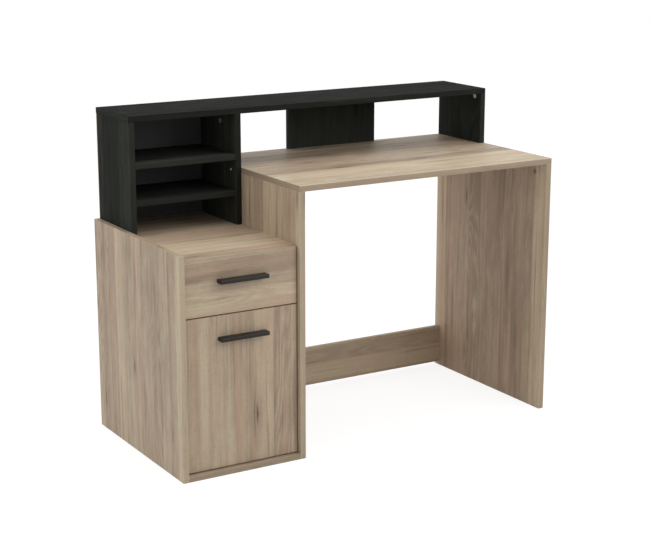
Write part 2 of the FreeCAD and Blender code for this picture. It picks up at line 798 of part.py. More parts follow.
def make_door_stop():
    """A small angle on the tall panel; the closed door rests against its lip."""
    lip_y = front_back + rest_gap
    height = (stop_height - stop_length / 2, stop_height + stop_length / 2)
    plate = block((tall_left - stop_plate, tall_left), (lip_y, lip_y + stop_length), height)
    lip = block((tall_left - stop_reach, tall_left), (lip_y, lip_y + stop_plate), height)
    stop = plate.fuse(lip).removeSplitter()
    seat = V(tall_left - stop_plate, lip_y + stop_length * stop_screw_share, stop_height)
    hole = fitting_screw("cupboard_fitting_screws", seat, X)
    add("door_stop", stop.cut(hole))
    drill("tall_panel", hole)


def write_pieces():
    """Cut every bore, put the frame in the middle of the footprint and write one file a node."""
    overhang = max(handle_reach - front_recess, 0)
    origin = V(desk_length / 2, (desk_depth - overhang) / 2, 0)
    for name, tools in cutters.items():
        pieces[name] = pieces[name].cut(tools)
    for name, solids in groups.items():
        pieces[name] = Part.makeCompound(solids)
    os.makedirs("parts", exist_ok=True)
    for name, shape in sorted(pieces.items()):
        shape.translated(-origin).exportStep("parts/" + name + ".step")


make_pedestal()
make_cupboard_shelf()
make_desk()
make_hutch()
join_hutch()
make_drawer()
join_drawer()
make_cabinet_runner()
make_drawer_runner()
make_rollers()
make_handle("drawer_handle", "drawer_front", drawer_front_top - drawer_handle_drop)
make_handle("door_handle", "cupboard_door", door_top - door_handle_drop)
make_door()
make_hinge("lower", door_bottom + hinge_inset)
make_hinge("upper", door_top - hinge_inset)
make_door_stop()
write_pieces()
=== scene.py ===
"""A computer desk with a pedestal and a dark shelf unit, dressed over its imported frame.

Every length is in metres, in the frame's own axes: X runs along the desk, Y towards its back and Z
up. The boards keep their frame solids and get a printed wood decor each. Screws, handles, nails and
bumpers are modelled here, at the places that the frame's solids give them.
"""

import json
import logging
import math
from collections.abc import Sequence
from dataclasses import dataclass, replace
from enum import Enum

import bmesh
import bpy
from mathutils import Matrix, Vector

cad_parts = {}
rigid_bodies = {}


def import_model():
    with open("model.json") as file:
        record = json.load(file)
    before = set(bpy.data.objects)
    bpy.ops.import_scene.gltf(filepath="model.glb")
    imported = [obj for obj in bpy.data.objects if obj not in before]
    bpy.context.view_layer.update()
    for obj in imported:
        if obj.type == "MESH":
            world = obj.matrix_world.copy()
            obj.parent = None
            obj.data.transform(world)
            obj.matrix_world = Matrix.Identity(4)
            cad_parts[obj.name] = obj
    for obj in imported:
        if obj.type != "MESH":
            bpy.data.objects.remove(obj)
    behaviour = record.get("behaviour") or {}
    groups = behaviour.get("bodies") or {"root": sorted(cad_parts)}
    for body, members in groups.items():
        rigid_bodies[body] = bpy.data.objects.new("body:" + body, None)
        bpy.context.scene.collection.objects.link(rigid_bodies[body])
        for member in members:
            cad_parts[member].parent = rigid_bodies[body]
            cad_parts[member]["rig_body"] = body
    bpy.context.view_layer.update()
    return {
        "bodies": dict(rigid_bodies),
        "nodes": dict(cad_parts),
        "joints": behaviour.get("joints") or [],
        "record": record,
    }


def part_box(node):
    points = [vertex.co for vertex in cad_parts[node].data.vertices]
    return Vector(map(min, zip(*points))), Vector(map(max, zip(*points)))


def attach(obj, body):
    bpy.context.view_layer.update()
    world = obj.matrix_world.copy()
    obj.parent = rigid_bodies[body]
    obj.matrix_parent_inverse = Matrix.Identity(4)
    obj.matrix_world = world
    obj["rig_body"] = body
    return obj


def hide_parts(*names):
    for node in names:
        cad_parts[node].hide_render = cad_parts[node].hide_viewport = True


LOG = logging.getLogger("desk")
MM = 0.001
# How much of a normal lies along an axis before its face counts as looking that way.
FACING = 0.8
# Points that are nearer to each other than this count as one.
WELD = 0.01 * MM
Colour = tuple[float, float, float, float]
Socket = bpy.types.NodeSocket
Sockets = bpy.types.bpy_prop_collection
Value = Socket | float | Sequence[float]


def card(red: int, green: int, blue: int) -> Colour:
    """Turn a colour card's eight-bit sRGB values into linear light, along that standard's curve.

    Args:
        red: Red from 0 to 255.
        green: Green from 0 to 255.
        blue: Blue from 0 to 255.

    Returns:
        The same colour as linear red, green, blue and a full alpha.
    """
    linear = []
    for part in (red, green, blue):
        share = part / 255
        linear.append(share / 12.92 if share <= 0.04045 else ((share + 0.055) / 1.055) ** 2.4)
    return (linear[0], linear[1], linear[2], 1.0)


class Axis(Enum):
    """The frame's axes, as the numbers of a vector's parts."""

    X = 0
    Y = 1
    Z = 2

    @property
    def vector(self) -> Vector:
        """The unit vector along this axis."""
        return Vector([1.0 if part == self.value else 0.0 for part in range(3)])


class Side(Enum):
    """The six sides of a board: an axis, and which end of it."""

    LEFT = (Axis.X, False)
    RIGHT = (Axis.X, True)
    FRONT = (Axis.Y, False)
    BACK = (Axis.Y, True)
    BOTTOM = (Axis.Z, False)
    TOP = (Axis.Z, True)


def side_flags(sides: Sequence[Side], high: bool) -> Vector:
    """Mark the axes on whose low or high end a board has one of the sides.

    Args:
        sides: The sides to mark.
        high: Whether the high ends are asked for, or the low ones.

    Returns:
        A vector of ones and zeros.
    """
    flags = Vector((0.0, 0.0, 0.0))
    for side in sides:
        axis, is_high = side.value
        if is_high is high:
            flags[axis.value] = 1.0
    return flags


class Tree:
    """Adds nodes to one node tree and wires them, so that a finish reads as a list of steps."""

    def __init__(self, tree: bpy.types.NodeTree) -> None:
        """Keep the tree that the nodes go into."""
        self.tree = tree

    def add(self, kind: str, values: dict | None = None, **settings: object) -> bpy.types.Node:
        """Add a node.

        Args:
            kind: The node's type.
            values: Its inputs by name or number, each a constant or another node's output.
            settings: Its own properties, such as an operation.

        Returns:
            The new node.
        """
        node = self.tree.nodes.new(kind)
        for name, setting in settings.items():
            setattr(node, name, setting)
        for key, value in (values or {}).items():
            self.feed(node.inputs[key], value)
        return node

    def feed(self, socket: Socket, value: Value) -> None:
        """Wire an output to a socket, or write a constant on it.

        Args:
            socket: The input that is fed.
            value: Another node's output, or a constant.
        """
        if isinstance(value, bpy.types.NodeSocket):
            self.tree.links.new(value, socket)
        else:
            socket.default_value = value

    def math(self, operation: str, *values: Value, clamp: bool = False) -> Socket:
        """Work out a number from up to three others."""
        inputs = dict(enumerate(values))
        return self.add("ShaderNodeMath", inputs, operation=operation, use_clamp=clamp).outputs[0]

    def centred(self, value: Value) -> Socket:
        """Shift a number between 0 and 1, so that it lies evenly round 0."""
        return self.math("SUBTRACT", value, 0.5)

    def weighted_sum(self, *terms: tuple[Value, Value], start: Value = 0.0) -> Value:
        """Add numbers up, each times its weight.

        Args:
            terms: Each number and its weight.
            start: The number that the sum starts from.

        Returns:
            The sum.
        """
        total = start
        for value, weight in terms:
            total = self.math("MULTIPLY_ADD", value, weight, total)
        return total

    def vector(self, operation: str, *values: Value) -> Socket:
        """Work out a vector from up to three others."""
        inputs = dict(enumerate(values))
        return self.add("ShaderNodeVectorMath", inputs, operation=operation).outputs["Vector"]

    def dot(self, first: Value, second: Value) -> Socket:
        """Work out two vectors' dot product."""
        inputs = {0: first, 1: second}
        return self.add("ShaderNodeVectorMath", inputs, operation="DOT_PRODUCT").outputs["Value"]

    def scaled(self, vector: Value, factor: Value) -> Socket:
        """Multiply a vector by a number."""
        inputs = {0: vector, "Scale": factor}
        return self.add("ShaderNodeVectorMath", inputs, operation="SCALE").outputs["Vector"]

    def parts(self, vector: Value) -> tuple[Socket, Socket, Socket]:
        """Split a vector into its three parts."""
        outputs = self.add("ShaderNodeSeparateXYZ", {0: vector}).outputs
        return outputs[0], outputs[1], outputs[2]

    def combine(self, x: Value, y: Value, z: Value = 0.0) -> Socket:
        """Make a vector from its parts."""
        return self.add("ShaderNodeCombineXYZ", {0: x, 1: y, 2: z}).outputs[0]

    def step(self, value: Value, low: float, high: float) -> Socket:
        """Turn a range of numbers into 0 to 1 along a smooth step.

        Args:
            value: The number that varies over the surface.
            low: Its value where the result is 0.
            high: Its value where the result is 1.

        Returns:
            The result, held between 0 and 1.
        """
        inputs = {"Value": value, "From Min": low, "From Max": high, "To Min": 0.0, "To Max": 1.0}
        node = self.add("ShaderNodeMapRange", inputs, interpolation_type="SMOOTHSTEP")
        return node.outputs["Result"]

    def blend(self, share: Value, first: Value, second: Value, way: str = "MIX") -> Socket:
        """Blend two colours.

        Args:
            share: The second colour's share, which is held between 0 and 1.
            first: The first colour.
            second: The second colour.
            way: How the second goes over the first.

        Returns:
            The blended colour.
        """
        node = self.add(
            "ShaderNodeMix", {0: share, 6: first, 7: second},
            data_type="RGBA", blend_type=way, clamp_factor=True,
        )
        return node.outputs[2]

    def noise(
        self, position: Value, detail: float = 2.0, rough: float = 0.5, flat: bool = True
    ) -> Socket:
        """Read cloudy noise between 0 and 1 at a scaled position.

        Args:
            position: The position, already scaled to the noise's own size.
            detail: How many finer layers are added.
            rough: How strong the finer layers are.
            flat: Whether only the first two parts of the position count.

        Returns:
            The noise's value.
        """
        inputs = {"Vector": position, "Scale": 1.0, "Detail": detail, "Roughness": rough}
        kind = "2D" if flat else "3D"
        return self.add("ShaderNodeTexNoise", inputs, noise_dimensions=kind).outputs[0]

    def group(self, effect: bpy.types.NodeTree, values: dict) -> Sockets:
        """Place a shared effect with its own values and find its outputs."""
        return self.add("ShaderNodeGroup", values, node_tree=effect).outputs


NUMBER = "NodeSocketFloat"
VECTOR = "NodeSocketVector"
COLOUR = "NodeSocketColor"
ORIGIN = (0.0, 0.0, 0.0)
ONES = (1.0, 1.0, 1.0)
GREY = (0.5, 0.5, 0.5, 1.0)
WHITE = (1.0, 1.0, 1.0, 1.0)


def start_group(
    name: str, inputs: dict[str, tuple[str, object]], outputs: dict[str, str]
) -> tuple[Tree, Sockets, Sockets]:
    """Start a node group with named sockets.

    Args:
        name: The group's name.
        inputs: Each input's kind of socket and its first value.
        outputs: Each output's kind of socket.

    Returns:
        The group's tree, the sockets that its inputs arrive on and those that it ends in.
    """
    group = bpy.data.node_groups.new(name, "ShaderNodeTree")
    for title, (kind, default) in inputs.items():
        socket = group.interface.new_socket(title, in_out="INPUT", socket_type=kind)
        socket.default_value = default
    for title, kind in outputs.items():
        group.interface.new_socket(title, in_out="OUTPUT", socket_type=kind)
    tree = Tree(group)
    return tree, tree.add("NodeGroupInput").outputs, tree.add("NodeGroupOutput").inputs


@dataclass(frozen=True)
class Layer:
    """A layer of noise: its scales per metre across and along the grain, its shift and fineness."""

    across: float
    along: float
    shift: float
    detail: float = 2.0
    rough: float = 0.5


class Grain(Enum):
    """The layers of noise that the wood print is drawn with."""

    SWAY = Layer(6.0, 2.1, 0.0, 2.5, 0.42)
    RAGGED = Layer(160.0, 38.0, 1.9, 2.0, 0.6)
    BANDS = Layer(75.0, 0.9, 1.3, 3.0, 0.6)
    STREAKS = Layer(330.0, 2.2, 5.1, 3.0, 0.62)
    HAIRS = Layer(1150.0, 16.0, 8.4, 1.0)
    FLECKS = Layer(240.0, 32.0, 3.3, 2.0, 0.6)
    CLOUDS = Layer(36.0, 12.0, 2.2, 3.0, 0.55)
    BLUSH = Layer(42.0, 1.5, 11.7)
    SLOW = Layer(9.0, 1.6, 6.6, 1.0)
    ARCHES = Layer(11.0, 1.25, 4.0, 1.5)
    DASHES = Layer(62.0, 2.3, 9.9)
    PORES = Layer(1500.0, 75.0, 7.2, 0.0)


class WoodPrint:
    """Draws the printed wood decor: glued staves with streaks, arched figure, knots and pores.

    The place on the print, across and along the grain, is bent step by step: by the grain's sway,
    then round the knots. After that each stave starts at another place along the print. A knot's
    cell and radii are in metres, across and along the grain.
    """

    SEED_STEP = (0.6131, 0.2917)
    KNOT_CELL = (0.105, 0.36)
    KNOT_SHIFT = 3.7
    KNOT_CHANCE = 0.42
    KNOT_SIZES = (0.9, 0.35)
    KNOT_RADII = (0.0046, 0.036)
    HALO_RADII = (0.019, 0.105)
    RAGGED_EDGE = 0.006
    KNOT_BEND = -0.62
    STAVE_SPREAD = 0.85
    STAVE_BLUR = 0.32
    STAVE_START = 7.0
    STAVE_WEIGHT = 0.66
    LAYER_WEIGHTS = (
        (Grain.BANDS, 0.58), (Grain.STREAKS, 0.54), (Grain.HAIRS, 0.26), (Grain.FLECKS, 0.20),
        (Grain.SLOW, 0.5),
    )
    ARCHED_STAVES = (0.42, 0.70)
    ARCH_LINES = 125.0
    ARCH_WEIGHT = 0.13
    COOL_TINT = (0.984, 1.008, 1.006, 1.0)
    WARM_TINT = (1.016, 0.991, 0.983, 1.0)
    DASHES_SEEN = (0.60, 0.78)
    PORES_SEEN = (0.60, 0.75)
    DASH_INK = 0.62
    HALO_INK = 0.75
    KNOT_INK = 0.72
    PORE_INK = 0.13

    def __init__(self) -> None:
        """Start the group and read the place that it is given."""
        inputs = {
            "Position": (VECTOR, ORIGIN), "Seed": (NUMBER, 0.0), "Stave": (NUMBER, 0.06),
            "Wander": (NUMBER, 0.01), "Contrast": (NUMBER, 1.0), "Figure": (NUMBER, 0.5),
            "Knots": (NUMBER, 0.5), "Mottle": (NUMBER, 0.5),
        }
        inputs |= {name: (COLOUR, GREY) for name in ("Light", "Middle", "Dark", "Warm", "Line")}
        outputs = {"Color": COLOUR, "Relief": NUMBER, "Sheen": NUMBER}
        self.tree, self.given, self.result = start_group("wood print", inputs, outputs)
        across, along, _ = self.tree.parts(self.given["Position"])
        step_across, step_along = self.SEED_STEP
        self.across = self.tree.math("MULTIPLY_ADD", self.given["Seed"], step_across, across)
        self.along = self.tree.math("MULTIPLY_ADD", self.given["Seed"], step_along, along)

    def spread(self, per_across: float, per_along: float, shift: float) -> Socket:
        """Scale the place on the print for a texture.

        Args:
            per_across: The texture's scale per metre across the grain.
            per_along: Its scale per metre along the grain.
            shift: Its own shift, which keeps it apart from the other textures.

        Returns:
            The scaled place.
        """
        across = self.tree.math("MULTIPLY_ADD", self.across, per_across, shift)
        along = self.tree.math("MULTIPLY_ADD", self.along, per_along, shift)
        return self.tree.combine(across, along)

    def layer(self, grain: Grain) -> Socket:
        """Read one layer of noise, at the place as it is bent so far.

        Args:
            grain: The layer.

        Returns:
            The noise, around a half.
        """
        noise = grain.value
        place = self.spread(noise.across, noise.along, noise.shift)
        return self.tree.noise(place, noise.detail, noise.rough)

    def sway(self) -> None:
        """Let the grain wander from side to side."""
        sway = self.tree.centred(self.layer(Grain.SWAY))
        self.across = self.tree.math("MULTIPLY_ADD", sway, self.given["Wander"], self.across)

    def knots(self) -> tuple[Socket, Socket]:
        """Scatter knots over the print and bend the grain round them.

        Returns:
            A mask of the knots, and one of the darker grain round them.
        """
        tree = self.tree
        cell_across, cell_along = self.KNOT_CELL
        cell = self.spread(1 / cell_across, 1 / cell_along, self.KNOT_SHIFT)
        inputs = {"Vector": cell, "Scale": 1.0}
        spots = tree.add("ShaderNodeTexVoronoi", inputs, voronoi_dimensions="2D").outputs
        off_across, off_along, _ = tree.parts(tree.vector("SUBTRACT", cell, spots["Position"]))
        chance, size, _ = tree.parts(spots["Color"])
        limit = tree.math("MULTIPLY", self.given["Knots"], self.KNOT_CHANCE)
        there = tree.math("LESS_THAN", chance, limit)
        size = tree.math("MULTIPLY_ADD", size, *self.KNOT_SIZES)
        ragged = tree.centred(self.layer(Grain.RAGGED))
        reach_across = tree.weighted_sum((off_across, cell_across), (ragged, self.RAGGED_EDGE))
        reach_across = tree.math("DIVIDE", reach_across, size)
        reach_along = tree.math("DIVIDE", tree.math("MULTIPLY", off_along, cell_along), size)
        masks = []
        for radius_across, radius_along in (self.KNOT_RADII, self.HALO_RADII):
            u = tree.math("POWER", tree.math("DIVIDE", reach_across, radius_across), 2.0)
            v = tree.math("POWER", tree.math("DIVIDE", reach_along, radius_along), 2.0)
            rim = tree.math("SQRT", tree.math("ADD", u, v))
            masks.append(tree.math("MULTIPLY", there, tree.step(rim, 1.0, 0.0)))
        knot, halo = masks
        aside = tree.math("MULTIPLY", off_across, cell_across * self.KNOT_BEND)
        self.across = tree.math("ADD", self.across, tree.math("MULTIPLY", aside, halo))
        return knot, halo

    def staves(self) -> tuple[Socket, Socket, Socket]:
        """Lay staves side by side, each with its own start along the print.

        Returns:
            Three values that each stave has of its own, for its shade, its warmth and its arches.
        """
        tree = self.tree
        width = tree.math("DIVIDE", self.across, self.given["Stave"])
        inputs = {"W": width, "Scale": 1.0, "Randomness": self.STAVE_SPREAD}
        hard = tree.add("ShaderNodeTexVoronoi", inputs, voronoi_dimensions="1D")
        soft = tree.add(
            "ShaderNodeTexVoronoi", inputs | {"Smoothness": self.STAVE_BLUR},
            voronoi_dimensions="1D", feature="SMOOTH_F1",
        )
        own, _, _ = tree.parts(hard.outputs["Color"])
        self.along = tree.math("MULTIPLY_ADD", own, self.STAVE_START, self.along)
        return tree.parts(soft.outputs["Color"])

    def tone(self, layers: dict[Grain, Socket], shade: Socket, arched: Socket) -> Socket:
        """Work out how light the wood is.

        Args:
            layers: The layers' values.
            shade: Each stave's own shade.
            arched: Each stave's own value for its arches.

        Returns:
            The tone, from 0 for the darkest wood to 1 for the lightest.
        """
        tree = self.tree
        arches = tree.math("SINE", tree.math("MULTIPLY", layers[Grain.ARCHES], self.ARCH_LINES))
        arched = tree.math("MULTIPLY", tree.step(arched, *self.ARCHED_STAVES), self.given["Figure"])
        total = tree.weighted_sum(
            (tree.centred(layers[Grain.CLOUDS]), self.given["Mottle"]),
            (tree.centred(shade), self.STAVE_WEIGHT),
            *((tree.centred(layers[grain]), weight) for grain, weight in self.LAYER_WEIGHTS),
            (tree.math("MULTIPLY", arches, arched), self.ARCH_WEIGHT),
        )
        return tree.math("MULTIPLY_ADD", total, self.given["Contrast"], 0.5)

    def colour(self, tone: Socket, layers: dict[Grain, Socket], warmth: Socket) -> Socket:
        """Turn the tone into the decor's colours.

        Args:
            tone: How light the wood is.
            layers: The layers' values.
            warmth: Each stave's own warmth.

        Returns:
            The wood's colour, without its lines and pores.
        """
        tree, given = self.tree, self.given
        slow, blush = layers[Grain.SLOW], layers[Grain.BLUSH]
        colour = tree.blend(tree.math("MULTIPLY", tone, 2.0), given["Dark"], given["Middle"])
        colour = tree.blend(tree.math("MULTIPLY_ADD", tone, 2.0, -1.0), colour, given["Light"])
        warm = tree.weighted_sum((slow, 0.6), (warmth, 0.5), (blush, 1.6), start=-1.12)
        colour = tree.blend(tree.math("MULTIPLY", warm, 0.9), colour, given["Warm"])
        hue = tree.weighted_sum((blush, 1.5), (warmth, 0.5), start=-0.5)
        return tree.blend(1.0, colour, tree.blend(hue, self.COOL_TINT, self.WARM_TINT), "MULTIPLY")

    def build(self) -> bpy.types.NodeTree:
        """Draw the whole print.

        Returns:
            A group that reads a position across, along and through the decor.
        """
        tree, given, result = self.tree, self.given, self.result
        self.sway()
        knot, halo = self.knots()
        shade, warmth, arched = self.staves()
        layers = {
            grain: self.layer(grain) for grain in Grain if grain not in (Grain.SWAY, Grain.RAGGED)
        }
        colour = self.colour(self.tone(layers, shade, arched), layers, warmth)
        streaks = layers[Grain.STREAKS]
        dashes = tree.step(layers[Grain.DASHES], *self.DASHES_SEEN)
        pores = tree.step(layers[Grain.PORES], *self.PORES_SEEN)
        lines = tree.weighted_sum(
            (dashes, tree.math("MULTIPLY", given["Knots"], self.DASH_INK)),
            (halo, tree.math("MULTIPLY", layers[Grain.BANDS], self.HALO_INK)),
            (knot, self.KNOT_INK),
        )
        darker = tree.math("MULTIPLY_ADD", pores, -self.PORE_INK, 1.0)
        tree.feed(result["Color"], tree.scaled(tree.blend(lines, colour, given["Line"]), darker))
        tree.feed(result["Relief"], tree.weighted_sum((streaks, 0.5), (pores, -0.8)))
        tree.feed(result["Sheen"], tree.weighted_sum((pores, 0.4), (streaks, 0.6)))
        return tree.tree


class Effects:
    """The shader node groups that more than one finish uses, each built once."""

    END_SHIFT = 0.731
    LAMINATE = (0.40 * MM, 0.52 * MM)
    BANDING = 1.0 * MM
    GLUE_LINE = 0.32 * MM
    WORN_EDGE = 0.8 * MM
    ONE_SIDE = 0.95
    CHIPS = (420.0, 520.0, 610.0)
    GRAIN_CLOUDS = 38.0
    SCUFFS = (26.0, 210.0, 210.0)
    METAL_GRAIN = 900.0
    METAL_HAZE = 160.0

    def __init__(self) -> None:
        """Build every group."""
        self.board_turn = self._board_turn()
        self.board_skin = self._board_skin()
        self.wood_print = WoodPrint().build()
        self.chip_core = self._chip_core()
        self.fine_grain = self._fine_grain()
        self.metal_tone = self._metal_tone()

    def _board_turn(self) -> bpy.types.NodeTree:
        """Build the group that lays a board's own axes: across, along and through the decor.

        Returns:
            A group whose print wraps over the long edges and runs along the end edges, as the
            banding on them does.
        """
        inputs = {"Position": (VECTOR, ORIGIN), "Normal": (VECTOR, ORIGIN)}
        inputs |= {name: (VECTOR, ORIGIN) for name in ("Across", "Along", "Through")}
        tree, given, result = start_group("board turn", inputs, {"Position": VECTOR})
        across = tree.dot(given["Position"], given["Across"])
        along = tree.dot(given["Position"], given["Along"])
        through = tree.dot(given["Position"], given["Through"])
        facing = tree.math("ABSOLUTE", tree.dot(given["Normal"], given["Along"]))
        is_end = tree.math("GREATER_THAN", facing, FACING)
        wrapped = tree.combine(tree.math("ADD", across, through), along, through)
        turned = tree.combine(tree.math("ADD", through, self.END_SHIFT), across, along)
        node = tree.add("ShaderNodeMix", {0: is_end, 4: wrapped, 5: turned}, data_type="VECTOR")
        tree.feed(result["Position"], node.outputs[1])
        return tree.tree

    def _board_skin(self) -> bpy.types.NodeTree:
        """Build the group that tells a board's decor from its bare chipboard and its worn edges.

        Returns:
            A group with masks for the bare core, the glue joint behind the banding, the worn edges
            and the banded sides.
        """
        names = (
            "Position", "Normal", "Low", "High", "Band Low", "Band High", "Bare Low", "Bare High",
        )
        inputs = {name: (VECTOR, ORIGIN) for name in names}
        outputs = {"Core": NUMBER, "Joint": NUMBER, "Edge": NUMBER, "Band": NUMBER}
        tree, given, result = start_group("board skin", inputs, outputs)

        def near(distance: Value, width: float) -> Socket:
            """Fade along each axis, from 1 where the distance is 0 to 0 where it is the width."""
            faded = tree.vector("SUBTRACT", ONES, tree.scaled(distance, 1 / width))
            return tree.vector("MAXIMUM", faded, ORIGIN)

        from_low = tree.vector("SUBTRACT", given["Position"], given["Low"])
        from_high = tree.vector("SUBTRACT", given["High"], given["Position"])
        nearest = tree.vector("MINIMUM", from_low, from_high)
        x, y, z = tree.parts(nearest)
        depth = tree.math("MINIMUM", x, tree.math("MINIMUM", y, z))
        core, band, joint = tree.step(depth, *self.LAMINATE), 0.0, 0.0
        for end, facing, distance in (("Low", -1.0, from_low), ("High", 1.0, from_high)):
            banded, bare = given[f"Band {end}"], given[f"Bare {end}"]
            turned = tree.scaled(given["Normal"], facing)
            beyond = tree.vector("MAXIMUM", tree.vector("SUBTRACT", turned, (FACING,) * 3), ORIGIN)
            faces = tree.vector("SIGN", beyond)
            core = tree.math("ADD", core, tree.dot(faces, bare), clamp=True)
            band = tree.math("ADD", band, tree.dot(faces, banded), clamp=True)
            off = tree.vector("ABSOLUTE", tree.vector("SUBTRACT", distance, (self.BANDING,) * 3))
            here = tree.dot(near(off, self.GLUE_LINE), banded)
            joint = tree.math("ADD", joint, here, clamp=True)
        sides_near = tree.dot(near(nearest, self.WORN_EDGE), ONES)
        tree.feed(result["Core"], core)
        tree.feed(result["Joint"], joint)
        tree.feed(result["Edge"], tree.math("SUBTRACT", sides_near, self.ONE_SIDE, clamp=True))
        tree.feed(result["Band"], band)
        return tree.tree

    def _chip_core(self) -> bpy.types.NodeTree:
        """Build bare chipboard: pressed chips of many browns with dark gaps between them.

        Returns:
            A group that reads an object position.
        """
        inputs = {"Position": (VECTOR, ORIGIN)}
        outputs = {"Color": COLOUR, "Height": NUMBER}
        tree, given, result = start_group("chip core", inputs, outputs)
        place = tree.vector("MULTIPLY", given["Position"], self.CHIPS)
        chips = tree.add("ShaderNodeTexVoronoi", {"Vector": place, "Scale": 1.0}).outputs
        shade, mix, _ = tree.parts(chips["Color"])
        mix = tree.math("MULTIPLY", mix, 0.7)
        colour = tree.blend(mix, card(164, 130, 92), card(196, 168, 128))
        gaps = tree.step(chips["Distance"], 0.45, 0.75)
        colour = tree.blend(tree.math("MULTIPLY", gaps, 0.6), colour, card(112, 84, 58))
        lightness = tree.math("MULTIPLY_ADD", shade, 0.25, 0.85)
        tree.feed(result["Color"], tree.scaled(colour, lightness))
        tree.feed(result["Height"], tree.math("SUBTRACT", shade, gaps))
        return tree.tree

    def _fine_grain(self) -> bpy.types.NodeTree:
        """Build the fine grain of powder coating and moulded plastic, with faint scuffs.

        Returns:
            A group that reads an object position and the grain's size.
        """
        inputs = {"Position": (VECTOR, ORIGIN), "Size": (NUMBER, 0.6 * MM)}
        outputs = {"Height": NUMBER, "Tone": NUMBER, "Scuff": NUMBER}
        tree, given, result = start_group("fine grain", inputs, outputs)
        size = tree.combine(given["Size"], given["Size"], given["Size"])
        fine = tree.vector("DIVIDE", given["Position"], size)
        tree.feed(result["Height"], tree.noise(fine, 2.0, 0.6, flat=False))
        cloudy = tree.scaled(given["Position"], self.GRAIN_CLOUDS)
        tree.feed(result["Tone"], tree.noise(cloudy, 2.0, 0.5, flat=False))
        long = tree.vector("MULTIPLY", given["Position"], self.SCUFFS)
        tree.feed(result["Scuff"], tree.step(tree.noise(long, 3.0, 0.65, flat=False), 0.62, 0.74))
        return tree.tree

    def _metal_tone(self) -> bpy.types.NodeTree:
        """Build the uneven tone of plated and cast metal.

        Returns:
            A group that reads an object position.
        """
        inputs = {"Position": (VECTOR, ORIGIN)}
        outputs = {"Tone": NUMBER, "Height": NUMBER, "Haze": NUMBER}
        tree, given, result = start_group("metal tone", inputs, outputs)
        fine = tree.scaled(given["Position"], self.METAL_GRAIN)
        grain = tree.noise(fine, 2.0, 0.6, flat=False)
        haze = tree.noise(tree.scaled(given["Position"], self.METAL_HAZE), 3.0, 0.6, flat=False)
        tree.feed(result["Tone"], tree.weighted_sum((haze, 0.5), (grain, 0.5)))
        tree.feed(result["Height"], grain)
        tree.feed(result["Haze"], tree.step(haze, 0.3, 0.7))
        return tree.tree


class Surface:
    """A material in the making: its tree, its principled shader and the place on the object."""

    def __init__(self, name: str, viewport: Colour) -> None:
        """Start the material.

        Args:
            name: Its name.
            viewport: The colour that stands for it in a plain viewport.
        """
        self.material = bpy.data.materials.new(name)
        self.material.use_nodes = True
        self.material.diffuse_color = viewport
        self.tree = Tree(self.material.node_tree)
        self.shader = self.material.node_tree.nodes["Principled BSDF"]
        place = self.tree.add("ShaderNodeTexCoord").outputs
        self.position, self.normal = place["Object"], place["Normal"]

    def set(self, values: dict[str, Value]) -> None:
        """Feed the shader's inputs, each with a constant or another node's output."""
        for name, value in values.items():
            self.tree.feed(self.shader.inputs[name], value)

    def bump(self, height: Socket, distance: float) -> None:
        """Give the surface a relief that is a distance high."""
        inputs = {"Height": height, "Distance": distance, "Strength": 1.0}
        self.set({"Normal": self.tree.add("ShaderNodeBump", inputs).outputs[0]})


@dataclass(frozen=True)
class Board:
    """How one board's decor lies on its frame solid."""

    node: str
    along: Axis
    through: Axis
    banded: tuple[Side, ...] = ()
    bare: tuple[Side, ...] = ()
    seed: float = 0.0
    # How light the whole board is: partly its own tone, partly painted light and shade that
    # lightens a board lying in shade and darkens one that catches much light.
    shade: float = 1.0
    vigour: float = 1.0
    # How light the banded sides are beside the faces: partly the banding's own tone, partly painted
    # light and shade on those sides.
    edge: float = 1.0

    @property
    def across(self) -> Axis:
        """The axis that the staves lie side by side along."""
        return next(axis for axis in Axis if axis not in (self.along, self.through))


